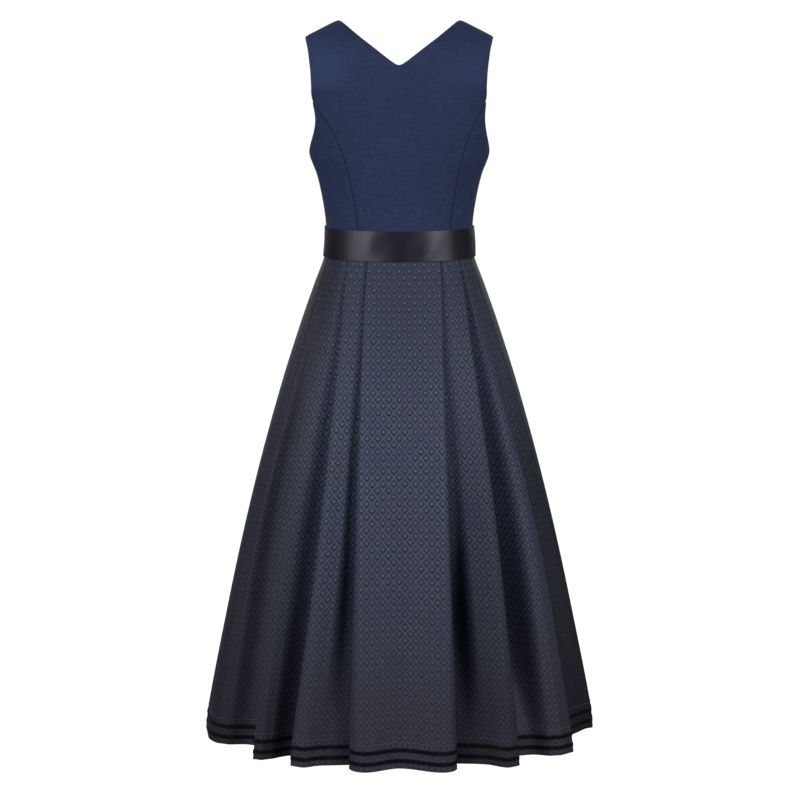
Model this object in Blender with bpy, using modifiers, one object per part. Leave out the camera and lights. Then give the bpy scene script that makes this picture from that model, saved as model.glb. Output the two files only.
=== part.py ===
"""Sleeveless dirndl with a V back, filled out as it is worn.

Metres, +Z up. The front faces -Y and the wearer's left is +X. The origin is midway between the tops of the
two shoulder seams, where the shoulders hold the garment. Every panel is an open surface, given its wall by
Solidify.
Angles go round the body from centre back (front for a front panel), positive towards the wearer's left.
"""

import math
from collections import namedtuple

import bmesh
import bpy
from mathutils import Matrix, Vector

# ---------------------------------------------------------------- driving dimensions

BODICE_WALL = 0.0015
SKIRT_WALL = 0.0010
RIBBON_WALL = 0.0010
SEAM_GAP = 0.0003

WAIST = -0.3790
HEM = -1.2485
HEM_STITCHES = HEM + 0.045
UNDERARM = -0.2290

# The shoulder seam slopes down from the side of the neck to the tip, and cloth rounds over it.
SHOULDER_TOP_X = 0.1075
SHOULDER_TIP_X = 0.1615
SHOULDER_SLOPE = 0.5156
SHOULDER_ROUND = 0.110
SHOULDER_GAP = 0.0010

# The V neckline is two straight lines, softly rounded where they meet each other and the shoulders.
BACK_NECK_DEPTH = 0.0772
BACK_NECK_SLOPE = 0.782
BACK_NECK_ROUND = 0.0073
NECK_CORNER_ROUND = 0.0027
FRONT_NECK_DEPTH = 0.215

BUST_X = 0.083
BUST_HEIGHT = -0.252
BUST_RISE = 0.014
BUST_REACH = 0.040

FRONT_LAP = 0.012
FRONT_LAP_LIFT = 0.0031
FRONT_LAP_EASE = 0.018

BUTTONS = 6
BUTTON_RADIUS = 0.0070
BUTTON_THICK = 0.0030
BUTTON_GAP = 0.0009
TOP_BUTTON = -0.236
BUTTON_STEP = 0.0215

BELT_TOP = -0.3535
BELT_BOTTOM = -0.4045
BELT_CLEARANCE = 0.0028
BELT_FRONT_CLEARANCE = 0.0052
BELT_LAP_ANGLE = 9.0
BELT_LAP_LIFT = 0.0017
BELT_COLUMNS = 45

# Where the velvet ribbons lie, measured up from the hem edge.
RIBBON_WIDTH = 0.007
RIBBON_STARTS = {"velvet_lower": 0.010, "velvet_upper": 0.028}
RIBBON_CLEARANCE = 0.0006

# Sizes of the body of the bodice. squareness is the exponent of each section's rounded outline, and seam_shift
# is how far the back seams are turned towards the wearer's right.
BodiceLevel = namedtuple("BodiceLevel", "height half_width back_depth front_depth squareness seam_shift")
BODICE_LEVELS = [
    BodiceLevel(WAIST, 0.1266, 0.0985, 0.0930, 2.00, -0.0083),
    BodiceLevel(-0.345, 0.1268, 0.0980, 0.0950, 2.05, -0.0083),
    BodiceLevel(-0.304, 0.1326, 0.0985, 0.1000, 2.10, -0.0080),
    BodiceLevel(-0.263, 0.1419, 0.1010, 0.1080, 2.15, -0.0073),
    BodiceLevel(UNDERARM, 0.1542, 0.1035, 0.1120, 2.20, -0.0064),
    BodiceLevel(-0.185, 0.1600, 0.1060, 0.1100, 2.30, -0.0045),
    BodiceLevel(-0.134, 0.1668, 0.1075, 0.1030, 2.35, 0.0000),
    BodiceLevel(-0.085, 0.1710, 0.1060, 0.0950, 2.40, 0.0005),
    BodiceLevel(0.004, 0.1725, 0.1000, 0.0880, 2.40, 0.0000),
]

# The outer edge of the back and front panels: up the princess seam, then round the armhole to the shoulder tip.
PanelEdge = namedtuple("PanelEdge", "height half_width")
BACK_PRINCESS_TOP = -0.134
BACK_EDGE = [
    PanelEdge(WAIST, 0.0783),
    PanelEdge(-0.350, 0.0800),
    PanelEdge(-0.326, 0.0823),
    PanelEdge(-0.292, 0.0873),
    PanelEdge(-0.253, 0.0949),
    PanelEdge(-0.212, 0.1068),
    PanelEdge(-0.177, 0.1230),
    PanelEdge(BACK_PRINCESS_TOP, 0.1475),
    PanelEdge(-0.105, 0.1500),
    PanelEdge(-0.085, 0.1512),
    PanelEdge(-0.065, 0.1537),
    PanelEdge(-0.0485, 0.1562),
    PanelEdge(-0.0278, SHOULDER_TIP_X),
]
FRONT_PRINCESS_TOP = -0.150
FRONT_EDGE = [
    PanelEdge(WAIST, 0.0720),
    PanelEdge(-0.330, 0.0780),
    PanelEdge(-0.290, 0.0840),
    PanelEdge(-0.250, 0.0900),
    PanelEdge(-0.210, 0.1000),
    PanelEdge(-0.180, 0.1130),
    PanelEdge(FRONT_PRINCESS_TOP, 0.1345),
    PanelEdge(-0.120, 0.1360),
    PanelEdge(-0.090, 0.1395),
    PanelEdge(-0.060, 0.1470),
    PanelEdge(-0.040, 0.1545),
    PanelEdge(-0.0278, SHOULDER_TIP_X),
]
ARMHOLE_SCOOP = 1.55
# How many rows of faces each bodice panel has up to the tops of the princess seams.
SEAM_STEPS = 6

# Sizes of the skirt's rings, on its top layer.
SkirtLevel = namedtuple("SkirtLevel", "height half_width back_depth front_depth")
SKIRT_LEVELS = [
    SkirtLevel(WAIST - SEAM_GAP, 0.1268, 0.0985, 0.0930),
    SkirtLevel(BELT_BOTTOM, 0.1293, 0.1010, 0.0955),
    SkirtLevel(-0.451, 0.1464, 0.1160, 0.1090),
    SkirtLevel(-0.521, 0.1711, 0.1380, 0.1300),
    SkirtLevel(-0.627, 0.2049, 0.1690, 0.1600),
    SkirtLevel(-0.769, 0.2444, 0.2030, 0.1920),
    SkirtLevel(-0.912, 0.2789, 0.2290, 0.2170),
    SkirtLevel(-1.056, 0.3094, 0.2500, 0.2380),
    SkirtLevel(HEM_STITCHES, 0.3384, 0.2660, 0.2540),
    SkirtLevel(HEM, 0.3438, 0.2700, 0.2580),
]
# The heights at which the skirt's mesh has a ring.
SKIRT_ROWS = [WAIST - SEAM_GAP, BELT_BOTTOM, -0.470, -0.570, -0.720, -0.930, HEM_STITCHES, HEM]

# One row for each pleat, from centre outwards. waist to hem are the angles of its outer fold at four
# heights, in degrees. tuck and reach are the cloth turned under at the waist and at the hem. crest_lead,
# crest and fold hold at the hem: how far before the fold the crest stands, and the crest's and the fold's
# size against the ring. Beyond the fold lies a hollow. floor and floor_hem are its depth under the fold's
# ring where it is deepest and at the hem, and under is the share of that depth right under the fold.
# lag_knee and lag are how far beyond the fold the floor lies, rise_knee and rise_lag where the next panel
# has risen again, at the knee and at the hem. rise is that panel's size there.
Pleat = namedtuple(
    "Pleat",
    "waist hip knee hem tuck reach crest_lead crest fold floor floor_hem under"
    " lag_knee lag rise_knee rise_lag rise",
)
FOLD_HEIGHTS = (BELT_BOTTOM, -0.556, -0.840, HEM_STITCHES)
BACK_LEFT_PLEATS = [
    Pleat(24.6, 20.0, 16.0, 14.1, .022, .018, 5.0, 1.084, 1.010, .034, .03, .8, 3.4, 4.0, 5.7, 9.5, 1.005),
    Pleat(42.0, 33.3, 29.5, 30.6, .022, .016, 4.3, 1.066, 1.054, .054, .054, .8, 10.0, 10.2, 12.6, 10.2, 1.0),
    Pleat(70.5, 50.8, 46.1, 43.6, .022, .003, 2.2, 1.040, 1.054, .05, .06, .8, 16.0, 19.0, 21.0, 20.0, .99),
]
BACK_RIGHT_PLEATS = [
    Pleat(32.5, 23.9, 18.6, 16.3, .022, .018, 4.3, 1.092, 1.011, .05, .046, .8, 4.4, 5.8, 7.8, 12.0, .905),
    Pleat(51.7, 42.0, 37.0, 33.4, .022, .018, 4.2, 1.096, 1.078, .05, .04, .5, 8.5, 15.0, 15.2, 17.0, 1.0),
    Pleat(66.0, 56.1, 57.5, 56.0, .013, .016, 5.6, 1.063, 1.054, .028, .034, .8, 26.0, 29.5, 21.0, 23.0, .985),
]
FRONT_LEFT_PLEATS = [
    Pleat(27.5, 21.5, 17.0, 15.5, .022, .018, 4.6, 1.080, 1.010, .038, .034, .8, 3.4, 4.0, 6.5, 10.5, .985),
    Pleat(46.5, 37.0, 33.0, 32.0, .022, .016, 4.3, 1.070, 1.060, .038, .038, .7, 6.8, 8.0, 12.0, 12.0, .995),
    Pleat(67.5, 53.0, 50.0, 49.0, .018, .012, 4.0, 1.045, 1.050, .038, .042, .4, 13.6, 16.0, 20.0, 24.0, .985),
]
FRONT_RIGHT_PLEATS = [
    Pleat(28.5, 22.5, 18.0, 16.0, .022, .018, 4.4, 1.076, 1.012, .04, .034, .8, 3.8, 4.5, 7.0, 11.0, .98),
    Pleat(48.0, 38.5, 34.0, 31.5, .022, .016, 4.5, 1.074, 1.056, .036, .036, .6, 6.8, 8.0, 12.0, 13.0, .995),
    Pleat(68.0, 54.5, 51.5, 50.5, .018, .012, 4.2, 1.050, 1.052, .036, .04, .4, 12.8, 15.0, 20.0, 23.0, .985),
]
# FLOOR_SHARES are the shares of a pleat's floor at the first four of FLOOR_HEIGHTS, and HIP_SHARE and
# RISE_HIP_SHARE the shares at the hip of how far the floor and the rise lie beyond the fold at the knee.
# A tuck takes no more than TUCK_ROOM of the room behind its fold.
FLOOR_HEIGHTS = (BELT_BOTTOM, -0.556, -0.840, -1.020, HEM_STITCHES)
FLOOR_SHARES = (0.05, 0.25, 0.75, 1.0)
HIP_SHARE = 0.53
UNDER_WAIST = 0.8
TUCK_ROOM = 0.8
RISE_WAIST = 3.2
RISE_HIP_SHARE = 0.6
CREST_LEAD_WAIST = 1.0
CREST_SHOULDER = 0.4
CREST_FALL = 0.3
TUCK_SAG = 0.12
CENTRE_SAG = 0.978
LAYER_STEP_WAIST = 0.0020
LAYER_STEP_HEM = 0.0060
# At a corner a layer lies further out, by no more than its distance over this.
SHARPEST_CORNER = 0.20

# Past the last pleat the cloth swells once more and turns the corner to the side seam, on the left and on the
# right.
SideRound = namedtuple("SideRound", "angle_waist angle_hem size_hem")
BACK_ROUNDS = (
    [SideRound(78.0, 65.0, 1.028), SideRound(84.0, 76.0, 0.997)],
    [SideRound(77.0, 82.0, 1.000), SideRound(84.0, 88.0, 1.000)],
)
FRONT_ROUNDS = (
    [SideRound(78.0, 78.0, 1.004), SideRound(84.0, 83.0, 0.998)],
    [SideRound(78.0, 79.0, 1.012), SideRound(84.0, 84.0, 1.010)],
)

Finish = namedtuple("Finish", "name colour roughness metallic")
NAVY_CLOTH = Finish("bodice_cloth", (0.024, 0.035, 0.080), 0.85, 0.0)
JACQUARD = Finish("skirt_cloth", (0.042, 0.052, 0.090), 0.60, 0.0)
VELVET = Finish("velvet", (0.004, 0.004, 0.006), 1.00, 0.0)
SATIN = Finish("satin", (0.012, 0.012, 0.016), 0.30, 0.0)
HORN = Finish("button", (0.010, 0.010, 0.013), 0.35, 0.0)


# ---------------------------------------------------------------- small helpers


def smooth_value(keys, values, at):
    """The value at a key on a smooth curve through (key, value) pairs, held level past both ends."""
    if keys[0] > keys[-1]:
        keys = keys[::-1]
        values = values[::-1]
    if at <= keys[0]:
        return values[0]
    if at >= keys[-1]:
        return values[-1]
    i = next(k for k in range(1, len(keys)) if at <= keys[k])

    def slope(k):
        low = max(k - 1, 0)
        high = min(k + 1, len(keys) - 1)
        return (values[high] - values[low]) / (keys[high] - keys[low])

    span = keys[i] - keys[i - 1]
    t = (at - keys[i - 1]) / span
    start = (2 * t**3 - 3 * t**2 + 1) * values[i - 1] + (t**3 - 2 * t**2 + t) * span * slope(i - 1)
    end = (3 * t**2 - 2 * t**3) * values[i] + (t**3 - t**2) * span * slope(i)
    return start + end


def size_at(levels, height):
    """The row of sizes at a height, every column read from a smooth curve."""
    heights = [level.height for level in levels]
    columns = zip(*levels)
    return type(levels[0])(*(smooth_value(heights, list(column), height) for column in columns))


def mix(a, b, share):
    return a + (b - a) * share


def signed_power(value, power):
    return math.copysign(abs(value) ** power, value)


def new_material(finish):
    material = bpy.data.materials.new(finish.name)
    material.use_nodes = True
    shader = material.node_tree.nodes["Principled BSDF"]
    shader.inputs["Base Color"].default_value = (*finish.colour, 1.0)
    shader.inputs["Roughness"].default_value = finish.roughness
    shader.inputs["Metallic"].default_value = finish.metallic
    return material


def add_object(name, mesh, finish, collection):
    piece = bpy.data.objects.new(name, mesh)
    piece.data.materials.append(new_material(finish))
    collection.objects.link(piece)
    return piece


def add_cloth(name, rows, wall, finish, collection):
    """A panel whose middle surface runs through rows of points, each row as long as the next."""
    shape = bmesh.new()
    grid = bmesh.ops.create_grid(shape, x_segments=len(rows[0]) - 1, y_segments=len(rows) - 1, size=0.5)
    for corner in grid["verts"]:
        column = round((corner.co.x + 0.5) * (len(rows[0]) - 1))
        row = round((corner.co.y + 0.5) * (len(rows) - 1))
        corner.co = rows[row][column]
    mesh = bpy.data.meshes.new(name)
    shape.to_mesh(mesh)
    shape.free()
    mesh.shade_smooth()
    piece = add_object(name, mesh, finish, collection)
    solid = piece.modifiers.new("wall", "SOLIDIFY")
    solid.thickness = wall
    solid.offset = 0.0
    solid.use_even_offset = True
    solid.use_quality_normals = True
    return piece


# ---------------------------------------------------------------- bodice


def shoulder_line(x):
    return -SHOULDER_SLOPE * (abs(x) - SHOULDER_TOP_X)


def soft_lower(a, b, rounding):
    """The lower of two heights, rounded where they cross."""
    return (a + b) / 2 - math.hypot((a - b) / 2, rounding)


def back_top(x):
    neck = BACK_NECK_SLOPE * math.hypot(x, BACK_NECK_ROUND) - BACK_NECK_DEPTH
    return soft_lower(neck, shoulder_line(x), NECK_CORNER_ROUND)


def front_top(x):
    """Height of the front panel's top edge, x being positive towards its own side and negative on its lap."""
    neck = -FRONT_NECK_DEPTH * (1 - x / SHOULDER_TOP_X)
    return soft_lower(neck, shoulder_line(x), NECK_CORNER_ROUND)


def bodice_point(facing, angle, height, lift=0.0):
    """A point of the bodice's middle surface. facing is +1 on the back and -1 on the front."""
    size = size_at(BODICE_LEVELS, height)
    power = 2 / size.squareness
    x = size.half_width * signed_power(math.sin(angle), power)
    if facing > 0:
        depth = size.back_depth
    else:
        away = math.hypot(abs(x) - BUST_X, height - BUST_HEIGHT)
        depth = size.front_depth + BUST_RISE * math.exp(-((away / BUST_REACH) ** 2) / 2)
    depth = depth * abs(math.cos(angle)) ** power
    below_seam = max(shoulder_line(x) - height, 0.0) / SHOULDER_ROUND
    if below_seam < 1:
        depth *= math.sqrt(1 - (1 - below_seam) ** 2)
    return Vector((x, facing * (depth + lift), height))


def angle_at(x, height):
    size = size_at(BODICE_LEVELS, height)
    share = min(abs(x) / size.half_width, 1.0)
    return math.copysign(math.asin(share ** (size.squareness / 2)), x)


def edge_x(edge, height):
    return smooth_value([p.height for p in edge], [p.half_width for p in edge], height)


def seam_x(edge, facing, side, height):
    """Where a princess seam, or the armhole above it, crosses a height on one side of the wearer."""
    shift = size_at(BODICE_LEVELS, height).seam_shift if facing > 0 else 0.0
    return side * edge_x(edge, height) + shift


def panel_rows(princess_top):
    """Shares of the height from waist to top: equal steps up the princess seam, closer round the armhole."""
    tip = shoulder_line(SHOULDER_TIP_X)
    seam = (princess_top - WAIST) / (tip - WAIST)
    up_seam = [seam * step / SEAM_STEPS for step in range(SEAM_STEPS + 1)]
    return up_seam + [mix(seam, 1.0, share) for share in (0.28, 0.55, 0.80, 0.95, 1.0)]


def back_panel():
    """The centre back, cut on the fold, with the V neckline and both shoulder seams along its top."""
    shares = (0.0, 0.13, 0.28, 0.44, 0.58, 0.645, 0.74, 0.87, 1.0)
    across = [-s for s in shares[:0:-1]] + list(shares)
    rows = []
    for up in panel_rows(BACK_PRINCESS_TOP):
        row = []
        for share in across:
            side = math.copysign(1.0, share)
            height = mix(WAIST, back_top(share * SHOULDER_TIP_X), up)
            centre = size_at(BODICE_LEVELS, height).seam_shift
            edge = seam_x(BACK_EDGE, 1, side, height) - side * SEAM_GAP / 2
            x = mix(centre, edge, abs(share))
            point = bodice_point(1, angle_at(x, height), height)
            point.y = max(point.y, SHOULDER_GAP / 2)
            row.append(point)
        rows.append(row)
    return rows


def side_panel(facing, side):
    """From princess seam to side seam, its top scooped out under the arm."""
    edge = BACK_EDGE if facing > 0 else FRONT_EDGE
    princess_top = BACK_PRINCESS_TOP if facing > 0 else FRONT_PRINCESS_TOP
    columns = 6
    rows = []
    for step in range(SEAM_STEPS + 1):
        row = []
        for column in range(columns):
            share = column / (columns - 1)
            top = mix(UNDERARM, princess_top, (1 - share) ** ARMHOLE_SCOOP)
            height = mix(WAIST, top, step / SEAM_STEPS)
            x = seam_x(edge, facing, side, height) + side * SEAM_GAP / 2
            start = angle_at(x, height)
            point = bodice_point(facing, mix(start, side * math.pi / 2, share), height)
            point.y += facing * SEAM_GAP / 2 * share
            row.append(point)
        rows.append(row)
    return rows


def front_panel(side):
    """From the lapped centre front to the princess seam. The wearer's right side (-1) laps over the left."""
    shares = (0.0, 0.10, 0.22, 0.38, 0.52, 0.64, 0.76, 0.88, 1.0)
    rows = []
    for up in panel_rows(FRONT_PRINCESS_TOP):
        row = []
        for share in shares:
            top = front_top(mix(-FRONT_LAP, SHOULDER_TIP_X, share))
            height = mix(WAIST, top, up)
            edge = edge_x(FRONT_EDGE, height) - SEAM_GAP / 2
            outward = mix(-FRONT_LAP, edge, share)
            lift = 0.0
            if side < 0:
                eased = (FRONT_LAP + FRONT_LAP_EASE - outward) / FRONT_LAP_EASE
                lift = FRONT_LAP_LIFT * min(max(eased, 0.0), 1.0)
            x = side * outward
            point = bodice_point(-1, angle_at(x, height), height, lift)
            point.y = min(point.y, -SHOULDER_GAP / 2)
            row.append(point)
        rows.append(row)
    return rows


def add_bodice(collection):
    def add(name, rows):
        add_cloth(name, rows, BODICE_WALL, NAVY_CLOTH, collection)

    add("bodice_back", back_panel())
    for side, letter in ((1, "l"), (-1, "r")):
        add(f"bodice_side_back_{letter}", side_panel(1, side))
        add(f"bodice_side_front_{letter}", side_panel(-1, side))
        add(f"bodice_front_{letter}", front_panel(side))


def add_buttons(collection):
    """A row of flat round buttons down the lapped centre front, on the upper of the two front panels."""
    for number in range(BUTTONS):
        height = TOP_BUTTON - number * BUTTON_STEP
        centre = bodice_point(-1, 0.0, height, FRONT_LAP_LIFT)
        above = bodice_point(-1, 0.0, height + BUTTON_RADIUS, FRONT_LAP_LIFT)
        out = Vector((0.0, centre.z - above.z, above.y - centre.y)).normalized()
        place = centre + out * (BODICE_WALL / 2 + BUTTON_GAP + BUTTON_THICK / 2)
        turn = out.to_track_quat("Z", "Y").to_matrix().to_4x4()
        shape = bmesh.new()
        bmesh.ops.create_cone(
            shape,
            cap_ends=True,
            segments=12,
            radius1=BUTTON_RADIUS,
            radius2=BUTTON_RADIUS * 0.86,
            depth=BUTTON_THICK,
            matrix=Matrix.Translation(place) @ turn,
        )
        name = f"button_{number + 1}"
        mesh = bpy.data.meshes.new(name)
        shape.to_mesh(mesh)
        shape.free()
        add_object(name, mesh, HORN, collection)


# ---------------------------------------------------------------- skirt


def openness(height):
    """0 at the belt and above, 1 at the hem."""
    return min(max((BELT_BOTTOM - height) / (BELT_BOTTOM - HEM), 0.0), 1.0)


def ring_point(facing, angle, height, size=1.0, inward=0.0):
    """A point by its angle in degrees on the skirt's ring at a height, scaled and then moved inward."""
    ring = size_at(SKIRT_LEVELS, height)
    depth = ring.back_depth if facing > 0 else ring.front_depth
    turn = math.radians(angle)
    out = Vector((math.sin(turn) / ring.half_width, math.cos(turn) / depth, 0.0)).normalized()
    x = size * ring.half_width * math.sin(turn) - inward * out.x
    y = size * depth * math.cos(turn) - inward * out.y
    return Vector((x, facing * y, height))


def degrees_of(distance, facing, angle, height):
    """The angle that a distance along the ring takes up at an angle."""
    step = ring_point(facing, angle + 0.5, height) - ring_point(facing, angle - 0.5, height)
    return distance / step.length


def half_ring(facing, pleats, rounds, height):
    """Spots (angle, size, inward) from the centre outwards to just before the side seam: for every pleat its
    crest, its outer fold, the corners of its inner fold, the hollow beside it and the rise to the next."""
    opened = openness(height)
    step = mix(LAYER_STEP_WAIST, LAYER_STEP_HEM, opened)
    spots = [(0.0, mix(1.0, CENTRE_SAG, opened), 0.0)]

    def place(angle, size, inward=0.0, between=0):
        """Adds a spot, with a number of others on a soft swell from the last one up to it."""
        last_angle, last_size, last_inward = spots[-1]
        size = mix(1.0, size, opened)
        for number in range(1, between + 2):
            share = number / (between + 1)
            swell = share * share * (3 - 2 * share)
            now_at = mix(last_angle, angle, share)
            spots.append((now_at, mix(last_size, size, swell), mix(last_inward, inward, share)))

    for pleat in pleats:
        fold = smooth_value(FOLD_HEIGHTS, [pleat.waist, pleat.hip, pleat.knee, pleat.hem], height)
        floors = [share * pleat.floor for share in FLOOR_SHARES] + [pleat.floor_hem]
        floor = smooth_value(FLOOR_HEIGHTS, floors, height)
        lag = smooth_value(FOLD_HEIGHTS, [0.0, HIP_SHARE * pleat.lag_knee, pleat.lag_knee, pleat.lag], height)
        rise_hip = mix(RISE_WAIST, pleat.rise_knee, RISE_HIP_SHARE)
        rise = smooth_value(FOLD_HEIGHTS, [RISE_WAIST, rise_hip, pleat.rise_knee, pleat.rise_lag], height)
        lead = mix(CREST_LEAD_WAIST, pleat.crest_lead, opened)
        tuck = degrees_of(mix(pleat.tuck, pleat.reach, opened), facing, fold, height)
        tuck = min(tuck, TUCK_ROOM * (fold - spots[-1][0]))
        under = mix(UNDER_WAIST, pleat.under, opened) * floor
        place(fold - lead, pleat.crest, between=3 if pleat is pleats[0] else 2)
        place(fold - lead * CREST_SHOULDER, mix(pleat.crest, pleat.fold, CREST_FALL))
        place(fold, pleat.fold)
        place(fold, pleat.fold, step)
        place(fold - tuck, pleat.fold, step + TUCK_SAG * floor)
        place(fold - tuck, pleat.fold, 2 * step + under)
        place(fold + lag, pleat.fold, max(floor, mix(2 * step, 0.0, opened)))
        place(fold + rise, pleat.rise)
    place(mix(rounds[0].angle_waist, rounds[0].angle_hem, opened), rounds[0].size_hem, between=1)
    place(mix(rounds[1].angle_waist, rounds[1].angle_hem, opened), rounds[1].size_hem)
    return spots


def skirt_ring(facing, left_pleats, right_pleats, left_rounds, right_rounds, height):
    """All points of one half of the skirt at a height, from the left side seam round to the right one."""
    left = half_ring(facing, left_pleats, left_rounds, height)
    right = half_ring(facing, right_pleats, right_rounds, height)
    mirrored = [(-angle, size, inward) for angle, size, inward in right[1:]]
    spots = [(90.0, 1.0, 0.0)] + left[::-1] + mirrored + [(-90.0, 1.0, 0.0)]
    ring = [ring_point(facing, angle, height, size, inward) for angle, size, inward in spots]
    for end in (ring[0], ring[-1]):
        end.y = facing * SEAM_GAP / 2
    return ring


def moved_out(rows, distance, facing):
    """Rows of points pushed outwards from the cloth, square to it in plan, keeping each row's height."""
    moved = []
    for row in rows:
        out_row = []
        for i, point in enumerate(row):
            before = row[max(i - 1, 0)]
            after = row[min(i + 1, len(row) - 1)]
            sides = [b - a for a, b in ((before, point), (point, after)) if (b - a).length > 0]
            normals = [Vector((side.y, -side.x, 0.0)).normalized() * facing for side in sides]
            out = sum(normals, Vector()).normalized()
            widen = max(out.dot(normals[0]), SHARPEST_CORNER)
            out_row.append(point + out * distance / widen)
        moved.append(out_row)
    return moved


def between_rows(low, high, share):
    return [a.lerp(b, share) for a, b in zip(low, high)]


def add_skirt(collection):
    halves = {
        "back": (1, BACK_LEFT_PLEATS, BACK_RIGHT_PLEATS, *BACK_ROUNDS),
        "front": (-1, FRONT_LEFT_PLEATS, FRONT_RIGHT_PLEATS, *FRONT_ROUNDS),
    }
    for half, settings in halves.items():
        rows = [skirt_ring(*settings, height) for height in SKIRT_ROWS]
        add_cloth(f"skirt_{half}", rows, SKIRT_WALL, JACQUARD, collection)
        stitched, hem = rows[-2:]
        for ribbon, start in RIBBON_STARTS.items():
            shares = [rise / (HEM_STITCHES - HEM) for rise in (start + RIBBON_WIDTH, start)]
            on_cloth = [between_rows(hem, stitched, share) for share in shares]
            distance = SKIRT_WALL / 2 + RIBBON_CLEARANCE + RIBBON_WALL / 2
            lying = moved_out(on_cloth, distance, settings[0])
            add_cloth(f"{ribbon}_{half}", lying, RIBBON_WALL, VELVET, collection)


# ---------------------------------------------------------------- belt


def belt_point(angle, height):
    """A point of the belt in plan, by its angle in degrees right round the waist from centre front."""
    across = math.sin(math.radians(angle))
    along = -math.cos(math.radians(angle))
    above_seam = height > WAIST
    size = size_at(BODICE_LEVELS if above_seam else SKIRT_LEVELS, height)
    power = 2 / size.squareness if above_seam else 1.0
    depth = size.back_depth + BELT_CLEARANCE if along > 0 else size.front_depth + BELT_FRONT_CLEARANCE
    half_width = size.half_width + BELT_CLEARANCE
    return half_width * signed_power(across, power), depth * signed_power(along, power)


def add_belt(collection):
    """A satin ribbon once round the waist, its right end lying over its left one at centre front."""
    heights = (BELT_TOP, mix(BELT_TOP, WAIST, 0.9), BELT_BOTTOM)
    start = -BELT_LAP_ANGLE
    end = 360.0 + BELT_LAP_ANGLE
    rows = []
    for height in heights:
        row = []
        for column in range(BELT_COLUMNS):
            angle = mix(start, end, column / (BELT_COLUMNS - 1))
            x, y = belt_point(angle, height)
            lapped = min(max((angle - (360.0 - 3 * BELT_LAP_ANGLE)) / (2 * BELT_LAP_ANGLE), 0.0), 1.0)
            lift = 1 + lapped * BELT_LAP_LIFT / math.hypot(x, y)
            row.append(Vector((x * lift, y * lift, height)))
        rows.append(row)
    add_cloth("belt", rows, RIBBON_WALL, SATIN, collection)


# ---------------------------------------------------------------- build


def main():
    for leftover in list(bpy.data.objects):
        bpy.data.objects.remove(leftover)
    collection = bpy.data.collections.new("dirndl")
    bpy.context.scene.collection.children.link(collection)
    add_bodice(collection)
    add_buttons(collection)
    add_skirt(collection)
    add_belt(collection)


main()
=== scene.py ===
"""Looks of a sleeveless dirndl with a V back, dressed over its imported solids.

Metres, +Z up. The front faces -Y and the wearer's left is +X. The pieces repeat the solids' sizes at a finer
step: pressed pleats as soft folded cloth, seams that dip, soft creases, ribbons, stitches and buttons. It is
laid out as an add-on and run as a script.
"""

import math
from collections import namedtuple

import bmesh
import bpy
import numpy as np
from bpy.props import FloatProperty, FloatVectorProperty, IntProperty, PointerProperty
from bpy.types import Operator, Panel, PropertyGroup
from mathutils import Matrix, Vector


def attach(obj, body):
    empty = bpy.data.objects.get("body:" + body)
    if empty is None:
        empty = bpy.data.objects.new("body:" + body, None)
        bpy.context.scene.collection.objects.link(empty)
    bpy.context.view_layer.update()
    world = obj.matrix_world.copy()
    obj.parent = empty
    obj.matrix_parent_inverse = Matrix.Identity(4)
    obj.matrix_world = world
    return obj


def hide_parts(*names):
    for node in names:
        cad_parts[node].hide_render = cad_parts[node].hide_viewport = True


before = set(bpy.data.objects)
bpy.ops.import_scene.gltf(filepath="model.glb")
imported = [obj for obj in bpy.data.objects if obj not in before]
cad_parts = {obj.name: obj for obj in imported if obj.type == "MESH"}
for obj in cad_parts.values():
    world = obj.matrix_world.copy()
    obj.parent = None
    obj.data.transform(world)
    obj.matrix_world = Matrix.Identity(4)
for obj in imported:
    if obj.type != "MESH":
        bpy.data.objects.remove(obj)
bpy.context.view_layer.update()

bl_info = {
    "name": "Dirndl with a V back",
    "version": (1, 0, 0),
    "blender": (4, 5, 0),
    "location": "View3D > Sidebar > Dirndl",
    "description": "Dresses the packed solids of a sleeveless dirndl in cloth, ribbons, stitches and buttons",
    "category": "Object",
}

# ---------------------------------------------------------------- sizes shared with the solids

BODICE_WALL = 0.0015
SKIRT_WALL = 0.0010
RIBBON_WALL = 0.0010
SEAM_GAP = 0.0003
SEWN_GAP = 0.00006

WAIST = -0.3790
HEM = -1.2485
HEM_STITCHES = HEM + 0.045
UNDERARM = -0.2290

SHOULDER_TOP_X = 0.1075
SHOULDER_TIP_X = 0.1615
SHOULDER_SLOPE = 0.5156
SHOULDER_ROUND = 0.110

BACK_NECK_DEPTH = 0.0772
BACK_NECK_SLOPE = 0.782
BACK_NECK_ROUND = 0.0073
NECK_CORNER_ROUND = 0.0027
FRONT_NECK_DEPTH = 0.215

BUST_X = 0.083
BUST_HEIGHT = -0.252
BUST_RISE = 0.014
BUST_REACH = 0.040

FRONT_LAP = 0.012
FRONT_LAP_LIFT = 0.0031
FRONT_LAP_EASE = 0.018

BUTTONS = 6
BUTTON_RADIUS = 0.0070
BUTTON_THICK = 0.0030
BUTTON_GAP = 0.0009
TOP_BUTTON = -0.236
BUTTON_STEP = 0.0215

BELT_TOP = -0.3535
BELT_BOTTOM = -0.4045
BELT_CLEARANCE = 0.0028
BELT_FRONT_CLEARANCE = 0.0052
BELT_LAP_ANGLE = 9.0
BELT_LAP_LIFT = 0.0017

RIBBON_WIDTH = 0.007
RIBBON_STARTS = {"velvet_lower": 0.010, "velvet_upper": 0.028}
RIBBON_CLEARANCE = 0.0002
VELVET_WALL = 0.0006


def rows_of(kind, rows):
    """A table whose rows have named columns."""
    return [kind(*row) for row in rows]


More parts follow.
